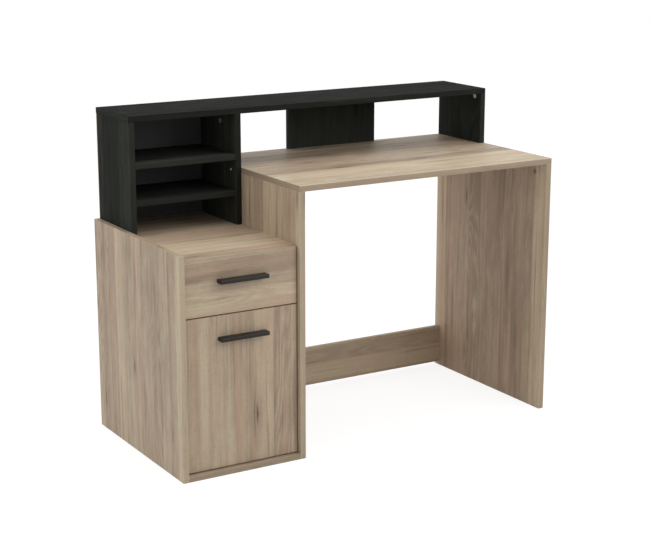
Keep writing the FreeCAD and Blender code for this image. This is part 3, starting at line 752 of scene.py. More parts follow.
@dataclass(frozen=True)
class WoodDecor:
    """A printed wood decor on chipboard, with banding on its edges."""

    name: str
    light: Colour
    middle: Colour
    dark: Colour
    warm: Colour
    line: Colour
    band: Colour
    stave: float = 0.055
    wander: float = 0.03
    contrast: float = 1.0
    figure: float = 1.0
    knots: float = 0.7
    mottle: float = 0.5
    roughness: float = 0.52
    level: float = 0.3
    banding: float = 0.4
    edge_light: float = 0.25
    joint_dark: float = 0.45
    relief: float = 0.04 * MM

    def printed(self, surface: Surface, board: Board, effects: Effects) -> Sockets:
        """Place the wood print with this decor's colours, turned to lie on the board.

        Args:
            surface: The material in the making.
            board: The board, whose seed and vigour make its print its own.
            effects: The shared groups.

        Returns:
            The print's outputs.
        """
        turned = surface.tree.group(effects.board_turn, {
            "Position": surface.position, "Normal": surface.normal, "Across": board.across.vector,
            "Along": board.along.vector, "Through": board.through.vector,
        })["Position"]
        return surface.tree.group(effects.wood_print, {
            "Position": turned, "Seed": board.seed, "Stave": self.stave, "Wander": self.wander,
            "Contrast": self.contrast * board.vigour, "Figure": self.figure, "Knots": self.knots,
            "Mottle": self.mottle, "Light": self.light, "Middle": self.middle, "Dark": self.dark,
            "Warm": self.warm, "Line": self.line,
        })

    def material(self, board: Board, effects: Effects) -> bpy.types.Material:
        """Make the decor for one board, fitted to the solid's box.

        Args:
            board: How the decor lies.
            effects: The shared groups.

        Returns:
            The board's own material.
        """
        surface = Surface(f"{self.name} {board.node}", self.middle)
        tree = surface.tree
        low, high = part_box(board.node)
        skin = tree.group(effects.board_skin, {
            "Position": surface.position, "Normal": surface.normal, "Low": low, "High": high,
            "Band Low": side_flags(board.banded, False),
            "Band High": side_flags(board.banded, True),
            "Bare Low": side_flags(board.bare, False),
            "Bare High": side_flags(board.bare, True),
        })
        decor = self.printed(surface, board, effects)
        chips = tree.group(effects.chip_core, {"Position": surface.position})
        banded = tree.math("MULTIPLY", skin["Band"], self.banding)
        colour = tree.blend(banded, decor["Color"], self.band)
        # Painted light and shade: the colour is scaled by the board's shade value, and its banded
        # sides by its edge value as well; both partly stand for how much light falls on them.
        painted_band_shade = board.shade * (board.edge - 1.0)
        shade = tree.math("MULTIPLY_ADD", skin["Band"], painted_band_shade, board.shade)
        colour = tree.scaled(colour, shade)
        glued = tree.math("MULTIPLY", skin["Joint"], self.joint_dark)
        colour = tree.blend(glued, colour, self.line)
        worn = tree.math("MULTIPLY", skin["Edge"], self.edge_light)
        colour = tree.blend(worn, colour, self.light)
        rough = tree.math("MULTIPLY_ADD", decor["Sheen"], 0.10, self.roughness - 0.03)
        surface.set({
            "Base Color": tree.blend(skin["Core"], colour, chips["Color"]),
            "Roughness": tree.math("MULTIPLY_ADD", skin["Core"], 0.3, rough, clamp=True),
            "Specular IOR Level": self.level,
        })
        chipped = tree.math("MULTIPLY", chips["Height"], skin["Core"])
        height = tree.weighted_sum((skin["Joint"], -1.0), (chipped, 3.0), start=decor["Relief"])
        surface.bump(height, self.relief)
        return surface.material

    def solid_wood(self, board: Board, effects: Effects) -> bpy.types.Material:
        """Make plain solid wood, such as a dowel's.

        Args:
            board: Which way the grain runs.
            effects: The shared groups.

        Returns:
            The material.
        """
        surface = Surface(f"{self.name} {board.node}", self.middle)
        wood = self.printed(surface, board, effects)
        rough = surface.tree.math("MULTIPLY_ADD", wood["Sheen"], 0.1, self.roughness)
        surface.set({"Base Color": wood["Color"], "Roughness": rough})
        surface.bump(wood["Relief"], self.relief)
        return surface.material


@dataclass(frozen=True)
class BackSheet:
    """A thin pressed board: decor on the face towards the room, brown fibre on the other."""

    name: str
    decor: WoodDecor
    fibre: Colour = card(126, 96, 68)
    strands: float = 900.0
    patches: float = 16.0
    relief: float = 0.04 * MM

    def material(self, board: Board, faces: Side, effects: Effects) -> bpy.types.Material:
        """Make the sheet's two-sided finish.

        Args:
            board: How the decor lies.
            faces: The side that carries the decor.
            effects: The shared groups.

        Returns:
            The sheet's own material.
        """
        surface = Surface(f"{self.name} {board.node}", self.decor.middle)
        tree = surface.tree
        axis, is_high = faces.value
        facing = tree.dot(surface.normal, axis.vector * (1.0 if is_high else -1.0))
        shown = tree.math("GREATER_THAN", facing, 0.5)
        decor = self.decor.printed(surface, board, effects)
        strands = tree.noise(tree.scaled(surface.position, self.strands), 3.0, 0.7, flat=False)
        patches = tree.noise(tree.scaled(surface.position, self.patches), 3.0, 0.6, flat=False)
        shade = tree.weighted_sum((patches, 0.3), (strands, 0.28), start=0.72)
        plain = tree.scaled(self.fibre[:3], shade)
        surface.set({
            # The decor side is scaled by the board's shade value: painted light on the shelf unit's
            # back sheet, which is lightened against the shade inside the unit.
            "Base Color": tree.blend(shown, plain, tree.scaled(decor["Color"], board.shade)),
            "Roughness": tree.math("MULTIPLY_ADD", strands, 0.2, 0.55),
        })
        surface.bump(strands, self.relief)
        return surface.material


@dataclass(frozen=True)
class Coat:
    """A powder-coated or moulded surface with a fine grain and faint scuffs."""

    name: str
    colour: Colour
    scuffed: Colour
    roughness: float = 0.45
    metallic: float = 0.0
    grain: float = 0.6 * MM
    relief: float = 0.02 * MM
    scuffing: float = 0.3
    level: float = 0.5

    def material(self, effects: Effects) -> bpy.types.Material:
        """Make the coat.

        Args:
            effects: The shared groups.

        Returns:
            The material.
        """
        surface = Surface(self.name, self.colour)
        tree = surface.tree
        grain = tree.group(effects.fine_grain, {"Position": surface.position, "Size": self.grain})
        scuff = tree.math("MULTIPLY", grain["Scuff"], self.scuffing)
        colour = tree.blend(scuff, self.colour, self.scuffed)
        rough = tree.math("MULTIPLY_ADD", grain["Tone"], 0.14, self.roughness - 0.07)
        surface.set({
            "Base Color": tree.scaled(colour, tree.math("MULTIPLY_ADD", grain["Tone"], 0.24, 0.88)),
            "Roughness": tree.math("MULTIPLY_ADD", scuff, 0.15, rough, clamp=True),
            "Metallic": self.metallic, "Specular IOR Level": self.level,
        })
        surface.bump(grain["Height"], self.relief)
        return surface.material


@dataclass(frozen=True)
class Plating:
    """Plated or cast metal whose tone is a little uneven."""

    name: str
    colour: Colour
    dull: Colour
    roughness: float = 0.3
    metallic: float = 1.0
    relief: float = 0.01 * MM

    def material(self, effects: Effects) -> bpy.types.Material:
        """Make the metal.

        Args:
            effects: The shared groups.

        Returns:
            The material.
        """
        surface = Surface(self.name, self.colour)
        tree = surface.tree
        metal = tree.group(effects.metal_tone, {"Position": surface.position})
        surface.set({
            "Base Color": tree.blend(metal["Haze"], self.colour, self.dull),
            "Roughness": tree.math("MULTIPLY_ADD", metal["Tone"], 0.22, self.roughness - 0.11),
            "Metallic": self.metallic,
        })
        surface.bump(metal["Height"], self.relief)
        return surface.material


Finish = Coat | Plating

OAK = WoodDecor(
    name="oak decor",
    light=card(198, 183, 156), middle=card(176, 159, 137), dark=card(145, 126, 107),
    warm=card(174, 148, 127), line=card(98, 79, 65), band=card(155, 137, 117), wander=0.013,
)
DARK = WoodDecor(
    name="dark decor",
    light=card(58, 61, 56), middle=card(41, 42, 40), dark=card(29, 30, 28),
    warm=card(42, 46, 40), line=card(23, 23, 21), band=card(42, 43, 40),
    stave=0.12, wander=0.035, contrast=0.95, figure=0.7, knots=0.5, mottle=0.8,
    roughness=0.75, level=0.03, banding=0.5, edge_light=0.15, joint_dark=0.3,
)
PLAIN_DARK = replace(
    DARK, name="plain dark decor",
    light=card(45, 44, 45), middle=card(41, 40, 41), dark=card(37, 36, 37),
    warm=card(42, 41, 42),
)
PALE = WoodDecor(
    name="box decor",
    light=card(214, 211, 203), middle=card(203, 199, 190), dark=card(190, 185, 176),
    warm=card(204, 196, 184), line=card(170, 162, 150), band=card(206, 202, 194),
    stave=0.3, wander=0.02, contrast=0.5, figure=0.2, knots=0.0, mottle=0.4,
    roughness=0.48, edge_light=0.2, joint_dark=0.2,
)
BEECH = WoodDecor(
    name="beech",
    light=card(222, 190, 146), middle=card(205, 170, 126), dark=card(180, 143, 100),
    warm=card(206, 160, 118), line=card(150, 110, 76), band=card(205, 170, 126),
    stave=0.03, wander=0.004, contrast=0.8, figure=0.2, knots=0.0, mottle=0.5,
    roughness=0.6, relief=0.06 * MM,
)
ANTHRACITE = Coat(
    "anthracite coat", card(34, 32, 30), card(68, 66, 63), roughness=0.46, scuffing=0.1, level=0.28,
)
WHITE_ENAMEL = Coat("white enamel", card(222, 221, 216), card(180, 178, 172), roughness=0.32)
ROLLER_PLASTIC = Coat("roller plastic", card(218, 218, 213), card(190, 188, 180), roughness=0.4)
STOP_PLASTIC = Coat("stop plastic", card(142, 128, 112), card(170, 158, 142), roughness=0.45)
BUMPER = Coat(
    "soft bumper", card(226, 226, 222), card(200, 200, 196), roughness=0.25, scuffing=0.1,
)
CAM_BROWN = Coat("cam brown", card(136, 114, 96), card(150, 128, 108), roughness=0.5, level=0.3)
NICKEL = Plating(
    "hinge nickel", card(204, 203, 198), card(188, 186, 180), roughness=0.36, metallic=0.85,
)
ZINC = Plating("screw zinc", card(222, 222, 217), card(196, 196, 191), roughness=0.34, metallic=0.5)
CAST_ZINC = Plating(
    "cast zinc", card(196, 196, 192), card(150, 150, 146),
    roughness=0.5, metallic=0.45, relief=0.03 * MM,
)
AXLE_STEEL = Plating("axle steel", card(200, 199, 196), card(158, 157, 153), roughness=0.24)


class Workshop:
    """Holds the frame's solids and the finishes while the desk's assemblies are made."""

    def __init__(self, frame: dict) -> None:
        """Take the loaded frame and build the shared effects.
        """
        self.nodes: dict[str, bpy.types.Object] = frame["nodes"]
        self.effects = Effects()
        self._ready: dict[str, bpy.types.Material] = {}

    def finish(self, finish: Finish) -> bpy.types.Material:
        """Find a finish's material, made when it is first asked for.

        Args:
            finish: The finish.

        Returns:
            Its material.
        """
        if finish.name not in self._ready:
            self._ready[finish.name] = finish.material(self.effects)
        return self._ready[finish.name]

    def dress(self, node: str, material: bpy.types.Material) -> None:
        """Put a material on a frame solid.

        Args:
            node: The solid's name.
            material: Its finish.
        """
        piece = self.nodes[node]
        if not piece.material_slots:
            piece.data.materials.append(material)
        for slot in piece.material_slots:
            slot.material = material
        LOG.info("%s: %s", node, material.name)

    def boards(self, decor: WoodDecor, boards: Sequence[Board]) -> None:
        """Dress boards with one decor, each fitted to its own box."""
        for board in boards:
            self.dress(board.node, decor.material(board, self.effects))

    def sheet(self, sheet: BackSheet, board: Board, faces: Side) -> None:
        """Dress a thin sheet whose decor faces one side."""
        self.dress(board.node, sheet.material(board, faces, self.effects))

    def coats(self, finish: Finish, nodes: Sequence[str]) -> None:
        """Dress several solids with one finish."""
        for node in nodes:
            self.dress(node, self.finish(finish))

    def piece(
        self, name: str, shape: bmesh.types.BMesh, finish: Finish, stands_for: str
    ) -> bpy.types.Object:
        """Turn a finished shape into a piece that takes a frame solid's place.

        Args:
            name: The piece's name.
            shape: Its mesh, in place.
            finish: Its finish.
            stands_for: The frame solid that it is shown instead of.

        Returns:
            The new piece, riding on the solid's body.
        """
        piece = self.extra(name, shape, finish, self.nodes[stands_for])
        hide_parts(stands_for)
        return piece

    def extra(
        self, name: str, shape: bmesh.types.BMesh, finish: Finish, carrier: bpy.types.Object
    ) -> bpy.types.Object:
        """Turn a finished shape into a piece that goes with a frame solid.

        Args:
            name: The piece's name.
            shape: Its mesh, in place.
            finish: Its finish.
            carrier: The frame solid whose body it rides on.

        Returns:
            The new piece.
        """
        bmesh.ops.recalc_face_normals(shape, faces=shape.faces)
        mesh = bpy.data.meshes.new(name)
        shape.to_mesh(mesh)
        shape.free()
        mesh.materials.append(self.finish(finish))
        piece = bpy.data.objects.new(name, mesh)
        bpy.context.scene.collection.objects.link(piece)
        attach(piece, carrier["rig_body"])
        LOG.info("%s: modelled, %d faces", name, len(mesh.polygons))
        return piece


def smooth_by_angle(piece: bpy.types.Object, degrees: float) -> None:
    """Shade a piece smooth but keep its edges sharper than an angle.

    Args:
        piece: The piece.
        degrees: The angle between two faces past which their edge stays sharp.
    """
    mesh = bmesh.new()
    mesh.from_mesh(piece.data)
    for face in mesh.faces:
        face.smooth = True
    for edge in mesh.edges:
        edge.smooth = edge.is_manifold and edge.calc_face_angle(0.0) < math.radians(degrees)
    mesh.to_mesh(piece.data)
    mesh.free()


def corners_of(geometry: Sequence) -> list[bmesh.types.BMVert]:
    """Pick the corners out of what an operator returns."""
    return [item for item in geometry if isinstance(item, bmesh.types.BMVert)]


def edges_of(corners: Sequence[bmesh.types.BMVert]) -> list[bmesh.types.BMEdge]:
    """List the edges at some corners, each of them once and always in the same order."""
    return list(dict.fromkeys(edge for corner in corners for edge in corner.link_edges))


def bevel(mesh: bmesh.types.BMesh, edges: Sequence, width: float, segments: int) -> None:
    """Round or chamfer some edges.

    Args:
        mesh: The mesh that they are in.
        edges: The edges.
        width: How far each is cut back on its faces.
        segments: How many faces take an edge's place.
    """
    bmesh.ops.bevel(
        mesh, geom=edges, offset=width, offset_type="OFFSET", segments=segments, profile=0.5,
        affect="EDGES", material=-1, clamp_overlap=True,
    )


def loose_parts(solids: bpy.types.Object) -> list[list[Vector]]:
    """Find the separate solids in a frame solid that holds a group of them.

    Args:
        solids: The frame's group.

    Returns:
        For each solid, the places of its corners.
    """
    mesh = bmesh.new()
    mesh.from_mesh(solids.data)
    bmesh.ops.remove_doubles(mesh, verts=mesh.verts, dist=WELD)
    parts = []
    seen = set()
    for start in mesh.verts:
        if start in seen:
            continue
        seen.add(start)
        waiting, places = [start], []
        while waiting:
            vert = waiting.pop()
            places.append(vert.co.copy())
            fresh = {edge.other_vert(vert) for edge in vert.link_edges} - seen
            seen |= fresh
            waiting += fresh
        parts.append(places)
    mesh.free()
    return parts


@dataclass(frozen=True)
class Seat:
    """Where one screw sits: the outer end of its head, the way it goes in and its whole length."""

    top: Vector
    into: Vector
    length: float
    END_DEPTH = 0.2 * MM

    @classmethod
    def of(cls, places: Sequence[Vector]) -> "Seat":
        """Read a screw's seat from its corners: its head is at the wider end.

        Args:
            places: The places of its corners.

        Returns:
            The seat.
        """
        low = Vector([min(place[part] for place in places) for part in range(3)])
        high = Vector([max(place[part] for place in places) for part in range(3)])
        size, middle = high - low, (low + high) / 2
        axis = max(range(3), key=lambda part: size[part])
        wide = (axis + 1) % 3
        reach = {}
        for end in (low[axis], high[axis]):
            rim = [place for place in places if abs(place[axis] - end) < cls.END_DEPTH]
            reach[end] = max(abs(place[wide] - middle[wide]) for place in rim)
        head = max(reach, key=lambda end: reach[end])
        top, into = middle.copy(), Vector((0.0, 0.0, 0.0))
        top[axis] = head
        into[axis] = 1.0 if head == low[axis] else -1.0
        return cls(top, into, size[axis])


@dataclass(frozen=True)
class CrossScrew:
    """A screw with a tapered cross recess, under a domed or a countersunk head.

    The rings of its head are shares of the head's radius and height, from its flat top down.
    """

    head_radius: float
    head_height: float
    shank_radius: float
    sunk: bool = False
    crown: float = 0.0
    sides: int = 24
    flat_share: float = 0.82
    slot_share: float = 0.12
    reach_share: float = 0.56
    recess_share: float = 0.5
    taper_share: float = 0.7
    tip_length_share: float = 2.2
    tip_limit_share: float = 0.4
    tip_radius_share: float = 0.12
    SUNK_SHARES = ((0.97, 0.0), (1.0, 0.06))
    DOMED_SHARES = ((0.86, 0.10), (0.97, 0.38), (1.0, 0.72), (1.0, 0.97), (0.97, 1.0))

    def profile(self, length: float) -> list[tuple[float, float]]:
        """List the rings from the head's flat to the tip.

        Args:
            length: The whole screw's length.

        Returns:
            Each ring's radius, and its depth under the top.
        """
        shank, height = self.shank_radius, self.head_height
        shares = self.SUNK_SHARES if self.sunk else self.DOMED_SHARES
        rings = [(self.head_radius * radius, height * depth) for radius, depth in shares]
        tip = min(shank * self.tip_length_share, (length - height) * self.tip_limit_share)
        rings += [(shank, height), (shank, length - tip)]
        return rings + [(shank * self.tip_radius_share, length)]

    def top(self, mesh: bmesh.types.BMesh) -> list[bmesh.types.BMVert]:
        """Model the head's top with its cross recess, round the origin and facing up.

        Args:
            mesh: What the top is added to.

        Returns:
            Its corners.
        """
        disc = bmesh.ops.create_circle(
            mesh, cap_ends=True, segments=self.sides, radius=self.head_radius * self.flat_share
        )["verts"]
        parts = disc + edges_of(disc) + list(disc[0].link_faces)
        slot, reach = self.head_radius * self.slot_share, self.head_radius * self.reach_share
        for axis in (Axis.X, Axis.Y):
            for distance in (-reach, -slot, slot, reach):
                parts = bmesh.ops.bisect_plane(
                    mesh, geom=parts, plane_co=axis.vector * distance, plane_no=axis.vector
                )["geom"]
        cross = []
        for face in (part for part in parts if isinstance(part, bmesh.types.BMFace)):
            middle = face.calc_center_median()
            near, far = sorted((abs(middle.x), abs(middle.y)))
            if near < slot / 2 and far < reach:
                cross.append(face)
        corners = corners_of(parts)
        floor = corners_of(bmesh.ops.extrude_face_region(mesh, geom=cross)["geom"])
        bmesh.ops.delete(mesh, geom=cross, context="FACES")
        sink = Vector((0.0, 0.0, -self.head_height * self.recess_share))
        bmesh.ops.translate(mesh, verts=floor, vec=sink)
        bmesh.ops.scale(mesh, verts=floor, vec=(self.taper_share, self.taper_share, 1.0))
        corners += floor
        bmesh.ops.translate(mesh, verts=corners, vec=(0.0, 0.0, self.crown))
        return corners

    def build(self, mesh: bmesh.types.BMesh, seat: Seat) -> None:
        """Model one screw into a mesh.

        Args:
            mesh: What the screw is added to.
            seat: Where it sits.
        """
        corners = self.top(mesh)
        ring = [edge for edge in edges_of(corners) if edge.is_boundary]
        radius, depth = self.head_radius * self.flat_share, -self.crown
        for next_radius, next_depth in self.profile(seat.length):
            grown = bmesh.ops.extrude_edge_only(mesh, edges=ring)["geom"]
            made = corners_of(grown)
            ring = [item for item in grown if isinstance(item, bmesh.types.BMEdge)]
            growth = next_radius / radius
            bmesh.ops.scale(mesh, verts=made, vec=(growth, growth, 1.0))
            bmesh.ops.translate(mesh, verts=made, vec=(0.0, 0.0, depth - next_depth))
            corners += made
            radius, depth = next_radius, next_depth
        bmesh.ops.edgeloop_fill(mesh, edges=ring)
        turn = Vector((0.0, 0.0, -1.0)).rotation_difference(seat.into).to_matrix().to_4x4()
        bmesh.ops.transform(mesh, matrix=Matrix.Translation(seat.top) @ turn, verts=corners)

    def group(self, shop: Workshop, node: str) -> None:
        """Replace a frame solid's whole group of screws.

        Args:
            shop: The workshop.
            node: The group's name.
        """
        mesh = bmesh.new()
        for places in loose_parts(shop.nodes[node]):
            self.build(mesh, Seat.of(places))
        piece = shop.piece(f"{node}_cross_head", mesh, ZINC, node)
        smooth_by_angle(piece, degrees=35.0)


@dataclass(frozen=True)
class BarHandle:
    """A bar handle: a flat top over a finger groove, a front lip and two solid feet."""

    node: str
    wall: float = 3 * MM
    foot: float = 12 * MM
    chamfer: float = 1.5 * MM
    softening: float = 0.3 * MM

    def plate(self, mesh: bmesh.types.BMesh, low: Vector, high: Vector) -> None:
        """Model the flat top, cut along the lines that the lip and the feet hang from.

        Args:
            mesh: What the plate is added to.
            low: The plate's lowest corner.
            high: Its highest corner.
        """
        place = Matrix.Translation((low + high) / 2) @ Matrix.Diagonal((*(high - low), 1.0))
        bmesh.ops.create_cube(mesh, size=1.0, matrix=place)
        cuts = (
            ((low.x + self.foot, 0.0, 0.0), Axis.X), ((high.x - self.foot, 0.0, 0.0), Axis.X),
            ((0.0, low.y + self.wall, 0.0), Axis.Y),
        )
        for point, axis in cuts:
            geometry = mesh.verts[:] + mesh.edges[:] + mesh.faces[:]
            bmesh.ops.bisect_plane(mesh, geom=geometry, plane_co=point, plane_no=axis.vector)

    def legs(self, mesh: bmesh.types.BMesh, low: Vector, high: Vector, drop: float) -> None:
        """Draw the lip and the feet down from the plate.

        Args:
            mesh: The mesh with the plate.
            low: The plate's lowest corner.
            high: Its highest corner.
            drop: How far down they reach under the plate.
        """
        under = []
        for face in mesh.faces:
            middle = face.calc_center_median()
            between_feet = low.x + self.foot < middle.x < high.x - self.foot
            over_grip = between_feet and middle.y > low.y + self.wall
            if -face.normal.z > FACING and not over_grip:
                under.append(face)
        feet = corners_of(bmesh.ops.extrude_face_region(mesh, geom=under)["geom"])
        bmesh.ops.delete(mesh, geom=under, context="FACES")
        bmesh.ops.translate(mesh, verts=feet, vec=(0.0, 0.0, -drop))

    def build(self, shop: Workshop) -> None:
        """Model the handle in its frame solid's box and let it take the solid's place.

        Args:
            shop: The workshop.
        """
        low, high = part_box(self.node)
        plate_low = Vector((low.x, low.y, high.z - self.wall))
        mesh = bmesh.new()
        self.plate(mesh, plate_low, high)
        self.legs(mesh, plate_low, high, plate_low.z - low.z)
        flat, sharp = math.radians(1.0), math.radians(20.0)
        bmesh.ops.dissolve_limit(mesh, angle_limit=flat, verts=mesh.verts[:], edges=mesh.edges[:])
        front = [
            edge for edge in mesh.edges if all(abs(vert.co.y - low.y) < WELD for vert in edge.verts)
        ]
        bevel(mesh, front, self.chamfer, segments=1)
        bends = [edge for edge in mesh.edges if edge.calc_face_angle(0.0) > sharp]
        bevel(mesh, bends, self.softening, segments=2)
        piece = shop.piece(f"{self.node}_bar", mesh, ANTHRACITE, self.node)
        smooth_by_angle(piece, degrees=30.0)


@dataclass(frozen=True)
class Dome:
    """A low dome with a rounded rim, such as a bumper or a nail's head."""

    radius: float
    height: float
    sides: int
    top_share: float = 0.72
    rim_share: float = 0.45

    def add(self, mesh: bmesh.types.BMesh, foot: Vector, out: Vector) -> None:
        """Model the dome into a mesh.

        Args:
            mesh: What the dome is added to.
            foot: The middle of its foot.
            out: The way that it faces.
        """
        middle = foot + out * (self.height / 2)
        turn = Vector((0.0, 0.0, 1.0)).rotation_difference(out).to_matrix().to_4x4()
        made = bmesh.ops.create_cone(
            mesh, cap_ends=True, cap_tris=False, segments=self.sides, radius1=self.radius,
            radius2=self.radius * self.top_share, depth=self.height,
            matrix=Matrix.Translation(middle) @ turn,
        )["verts"]
        rim = [
            edge for edge in edges_of(made)
            if all((vert.co - middle).dot(out) > 0 for vert in edge.verts)
        ]
        bevel(mesh, rim, self.height * self.rim_share, segments=2)


FRONT, BACK = (Side.FRONT,), (Side.BACK,)
BOTTOM, TOP = (Side.BOTTOM,), (Side.TOP,)
ENDS = (Side.LEFT, Side.RIGHT)


def upright_board(node: str, banded: tuple[Side, ...] = (), **values: object) -> Board:
    """Lay a decor on a panel that stands across the desk, with its grain running up."""
    return Board(node, Axis.Z, Axis.X, banded, **values)


def lying_board(node: str, banded: tuple[Side, ...] = (), **values: object) -> Board:
    """Lay a decor on a board that lies level, with its grain running along the desk."""
    return Board(node, Axis.X, Axis.Z, banded, **values)


@dataclass(frozen=True)
class Pedestal:
    """The cabinet on the left: its boards, its back sheet and the loose shelf on its pegs."""

    shop: Workshop
    # The shade and edge values are partly each board's own tone and partly painted light and shade,
    # set against how much light falls on the board or on its banded sides.
    boards: tuple[Board, ...] = (
        upright_board(
            "pedestal_left_panel", FRONT + BACK + TOP, bare=BOTTOM, seed=5.3, vigour=1.4, edge=1.02,
        ),
        upright_board(
            "tall_panel", FRONT + BACK, bare=BOTTOM + TOP, seed=11.0, shade=1.1, edge=0.86,
        ),
        lying_board("pedestal_bottom_board", FRONT, bare=BACK, seed=17.0, shade=0.88, edge=0.95),
        lying_board("pedestal_top_board", FRONT + BACK, seed=25.0, shade=1.05, vigour=0.85),
        lying_board("cupboard_shelf", FRONT, bare=ENDS + BACK, seed=29.0),
    )
    back: Board = Board("pedestal_back_sheet", Axis.Z, Axis.Y, seed=31.0)

    def dress(self) -> None:
        """Give each board its decor and the pegs their metal."""
        self.shop.boards(OAK, self.boards)
        self.shop.sheet(BackSheet("oak back", OAK), self.back, Side.FRONT)
        self.shop.coats(ZINC, ("shelf_pegs",))


@dataclass(frozen=True)
class DeskTop:
    """The board over the knee space, the panel under its right end and the rail at the back."""

    shop: Workshop
    # The shade and edge values are partly each board's own tone and partly painted light and shade:
    # the right panel, in shade under the desk top, is lightened and the banded edges darkened.
    boards: tuple[Board, ...] = (
        lying_board(
            "desk_top", ENDS + FRONT + BACK, seed=6.0, shade=0.97, vigour=1.55, edge=0.83,
        ),
        upright_board(
            "desk_right_panel", FRONT + BACK, bare=BOTTOM,
            seed=38.7, shade=1.13, vigour=1.35, edge=0.7,
        ),
        Board("desk_back_rail", Axis.X, Axis.Y, BOTTOM + TOP, seed=41.0, vigour=0.65),
    )

    def dress(self) -> None:
        """Give each board its decor."""
        self.shop.boards(OAK, self.boards)


@dataclass(frozen=True)
class ShelfUnit:
    """The dark unit along the back edge, with its nailed back sheet."""

    shop: Workshop
    # Painted light and shade: the shade values lighten the boards inside the unit against the shade
    # there and darken the top board against the sheen it catches from above; the edge values do the
    # same for the banded sides.
    boards: tuple[Board, ...] = (
        upright_board("hutch_left_panel", FRONT, bare=BACK, seed=43.0, vigour=0.75),
        upright_board("hutch_divider", FRONT, bare=BACK, seed=47.0, shade=1.95, edge=0.4),
        upright_board(
            "hutch_right_panel", FRONT + BACK, seed=53.0, shade=1.75, vigour=1.3, edge=0.75,
        ),
        Board("hutch_middle_panel", Axis.Z, Axis.Y, ENDS, seed=59.0, shade=1.32, vigour=0.75),
        lying_board(
            "hutch_top_board", ENDS + FRONT + BACK, seed=61.0, shade=0.44, vigour=3.0, edge=1.95,
        ),
        lying_board("hutch_lower_shelf", FRONT, bare=BACK, seed=67.0, shade=1.2, edge=0.85),
        lying_board("hutch_upper_shelf", FRONT, bare=BACK, seed=71.0, shade=1.2, edge=0.8),
    )
    # Painted light: the back sheet's shade value lightens it against the shade inside the unit.
    back: Board = Board("hutch_back_sheet", Axis.Z, Axis.Y, seed=73.0, shade=1.8)
    nail: Dome = Dome(1.7 * MM, 0.5 * MM, sides=12)
    nail_inset: float = 8 * MM
    nail_spacing: float = 62 * MM

    def dress(self) -> None:
        """Give each board its decor, then nail the back sheet on."""
        self.shop.boards(DARK, self.boards)
        self.shop.sheet(BackSheet("dark back", PLAIN_DARK), self.back, Side.FRONT)
        self.nails()

    def nail_places(self) -> list[Vector]:
        """Work out the nails' feet, in even rows round the sheet's rim.

        Returns:
            A place for each nail.
        """
        low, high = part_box(self.back.node)
        inset = Vector((self.nail_inset, 0.0, self.nail_inset))
        first, last = low + inset, high - inset
        places = []
        for start, end, axis in ((first.x, last.x, Axis.X), (first.z, last.z, Axis.Z)):
            count = max(1, round((end - start) / self.nail_spacing))
            for step in range(count + 1):
                along = start + (end - start) * step / count
                for edge in (first, last):
                    place = Vector((edge.x, high.y, edge.z))
                    place[axis.value] = along
                    if axis is Axis.X or 0 < step < count:
                        places.append(place)
        return places

    def nails(self) -> None:
        """Model the nails' heads on the back sheet."""
        mesh = bmesh.new()
        for place in self.nail_places():
            self.nail.add(mesh, place, Axis.Y.vector)
        self.shop.extra("back_sheet_nails", mesh, ZINC, self.shop.nodes[self.back.node])


@dataclass(frozen=True)
class Drawer:
    """The drawer: its front, its box, its handle, its bumpers and its screws."""

    shop: Workshop
    front: Board = Board("drawer_front", Axis.X, Axis.Y, ENDS + BOTTOM + TOP, seed=80.0, shade=1.01)
    box: tuple[Board, ...] = (
        Board("drawer_side_left", Axis.Y, Axis.X, TOP, BACK + BOTTOM, seed=83.0),
        Board("drawer_side_right", Axis.Y, Axis.X, TOP, BACK + BOTTOM, seed=89.0),
        Board("drawer_back", Axis.X, Axis.Y, TOP, BOTTOM, seed=97.0),
    )
    floor: Board = lying_board("drawer_floor", seed=101.0)
    dowels: Board = Board("drawer_dowels", Axis.Y, Axis.Z, seed=103.0)
    handle: BarHandle = BarHandle("drawer_handle")
    sunk_screw: CrossScrew = CrossScrew(3.5 * MM, 2.4 * MM, 1.75 * MM, sunk=True)
    handle_screw: CrossScrew = CrossScrew(4.0 * MM, 2.4 * MM, 2.0 * MM)

    def dress(self) -> None:
        """Give the boards their decors and model the handle, the bumpers and the screws."""
        self.shop.boards(OAK, (self.front,))
        self.shop.boards(PALE, self.box)
        self.shop.sheet(BackSheet("drawer floor", PALE), self.floor, Side.TOP)
        self.handle.build(self.shop)
        self.bumpers()
        self.sunk_screw.group(self.shop, "drawer_screws")
        self.handle_screw.group(self.shop, "drawer_handle_screws")
        self.shop.coats(CAST_ZINC, ("drawer_cam_locks",))
        self.shop.coats(ZINC, ("drawer_cam_bolts",))
        self.shop.dress(self.dowels.node, BEECH.solid_wood(self.dowels, self.shop.effects))

    def bumpers(self) -> None:
        """Model the two soft bumpers behind the front."""
        low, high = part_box("drawer_bumpers")
        radius = (high.z - low.z) / 2
        dome = Dome(radius, high.y - low.y, sides=28)
        mesh = bmesh.new()
        for x in (low.x + radius, high.x - radius):
            dome.add(mesh, Vector((x, low.y, (low.z + high.z) / 2)), Axis.Y.vector)
        piece = self.shop.piece("drawer_soft_bumpers", mesh, BUMPER, "drawer_bumpers")
        smooth_by_angle(piece, degrees=40.0)


@dataclass(frozen=True)
class CupboardDoor:
    """The inset door with its handle and the hinges' cups."""

    shop: Workshop
    leaf: Board = Board(
        "cupboard_door", Axis.Z, Axis.Y, ENDS + BOTTOM + TOP, seed=113.4, shade=1.05,
    )
    handle: BarHandle = BarHandle("door_handle")
    handle_screw: CrossScrew = CrossScrew(4.0 * MM, 2.4 * MM, 2.0 * MM)
    cup_screw: CrossScrew = CrossScrew(3.0 * MM, 1.6 * MM, 1.6 * MM)

    def dress(self) -> None:
        """Give the leaf its decor and model the handle and the screws."""
        self.shop.boards(OAK, (self.leaf,))
        self.handle.build(self.shop)
        self.handle_screw.group(self.shop, "door_handle_screws")
        self.cup_screw.group(self.shop, "hinge_cup_screws")
        self.shop.coats(NICKEL, ("hinge_cup_lower", "hinge_cup_upper"))


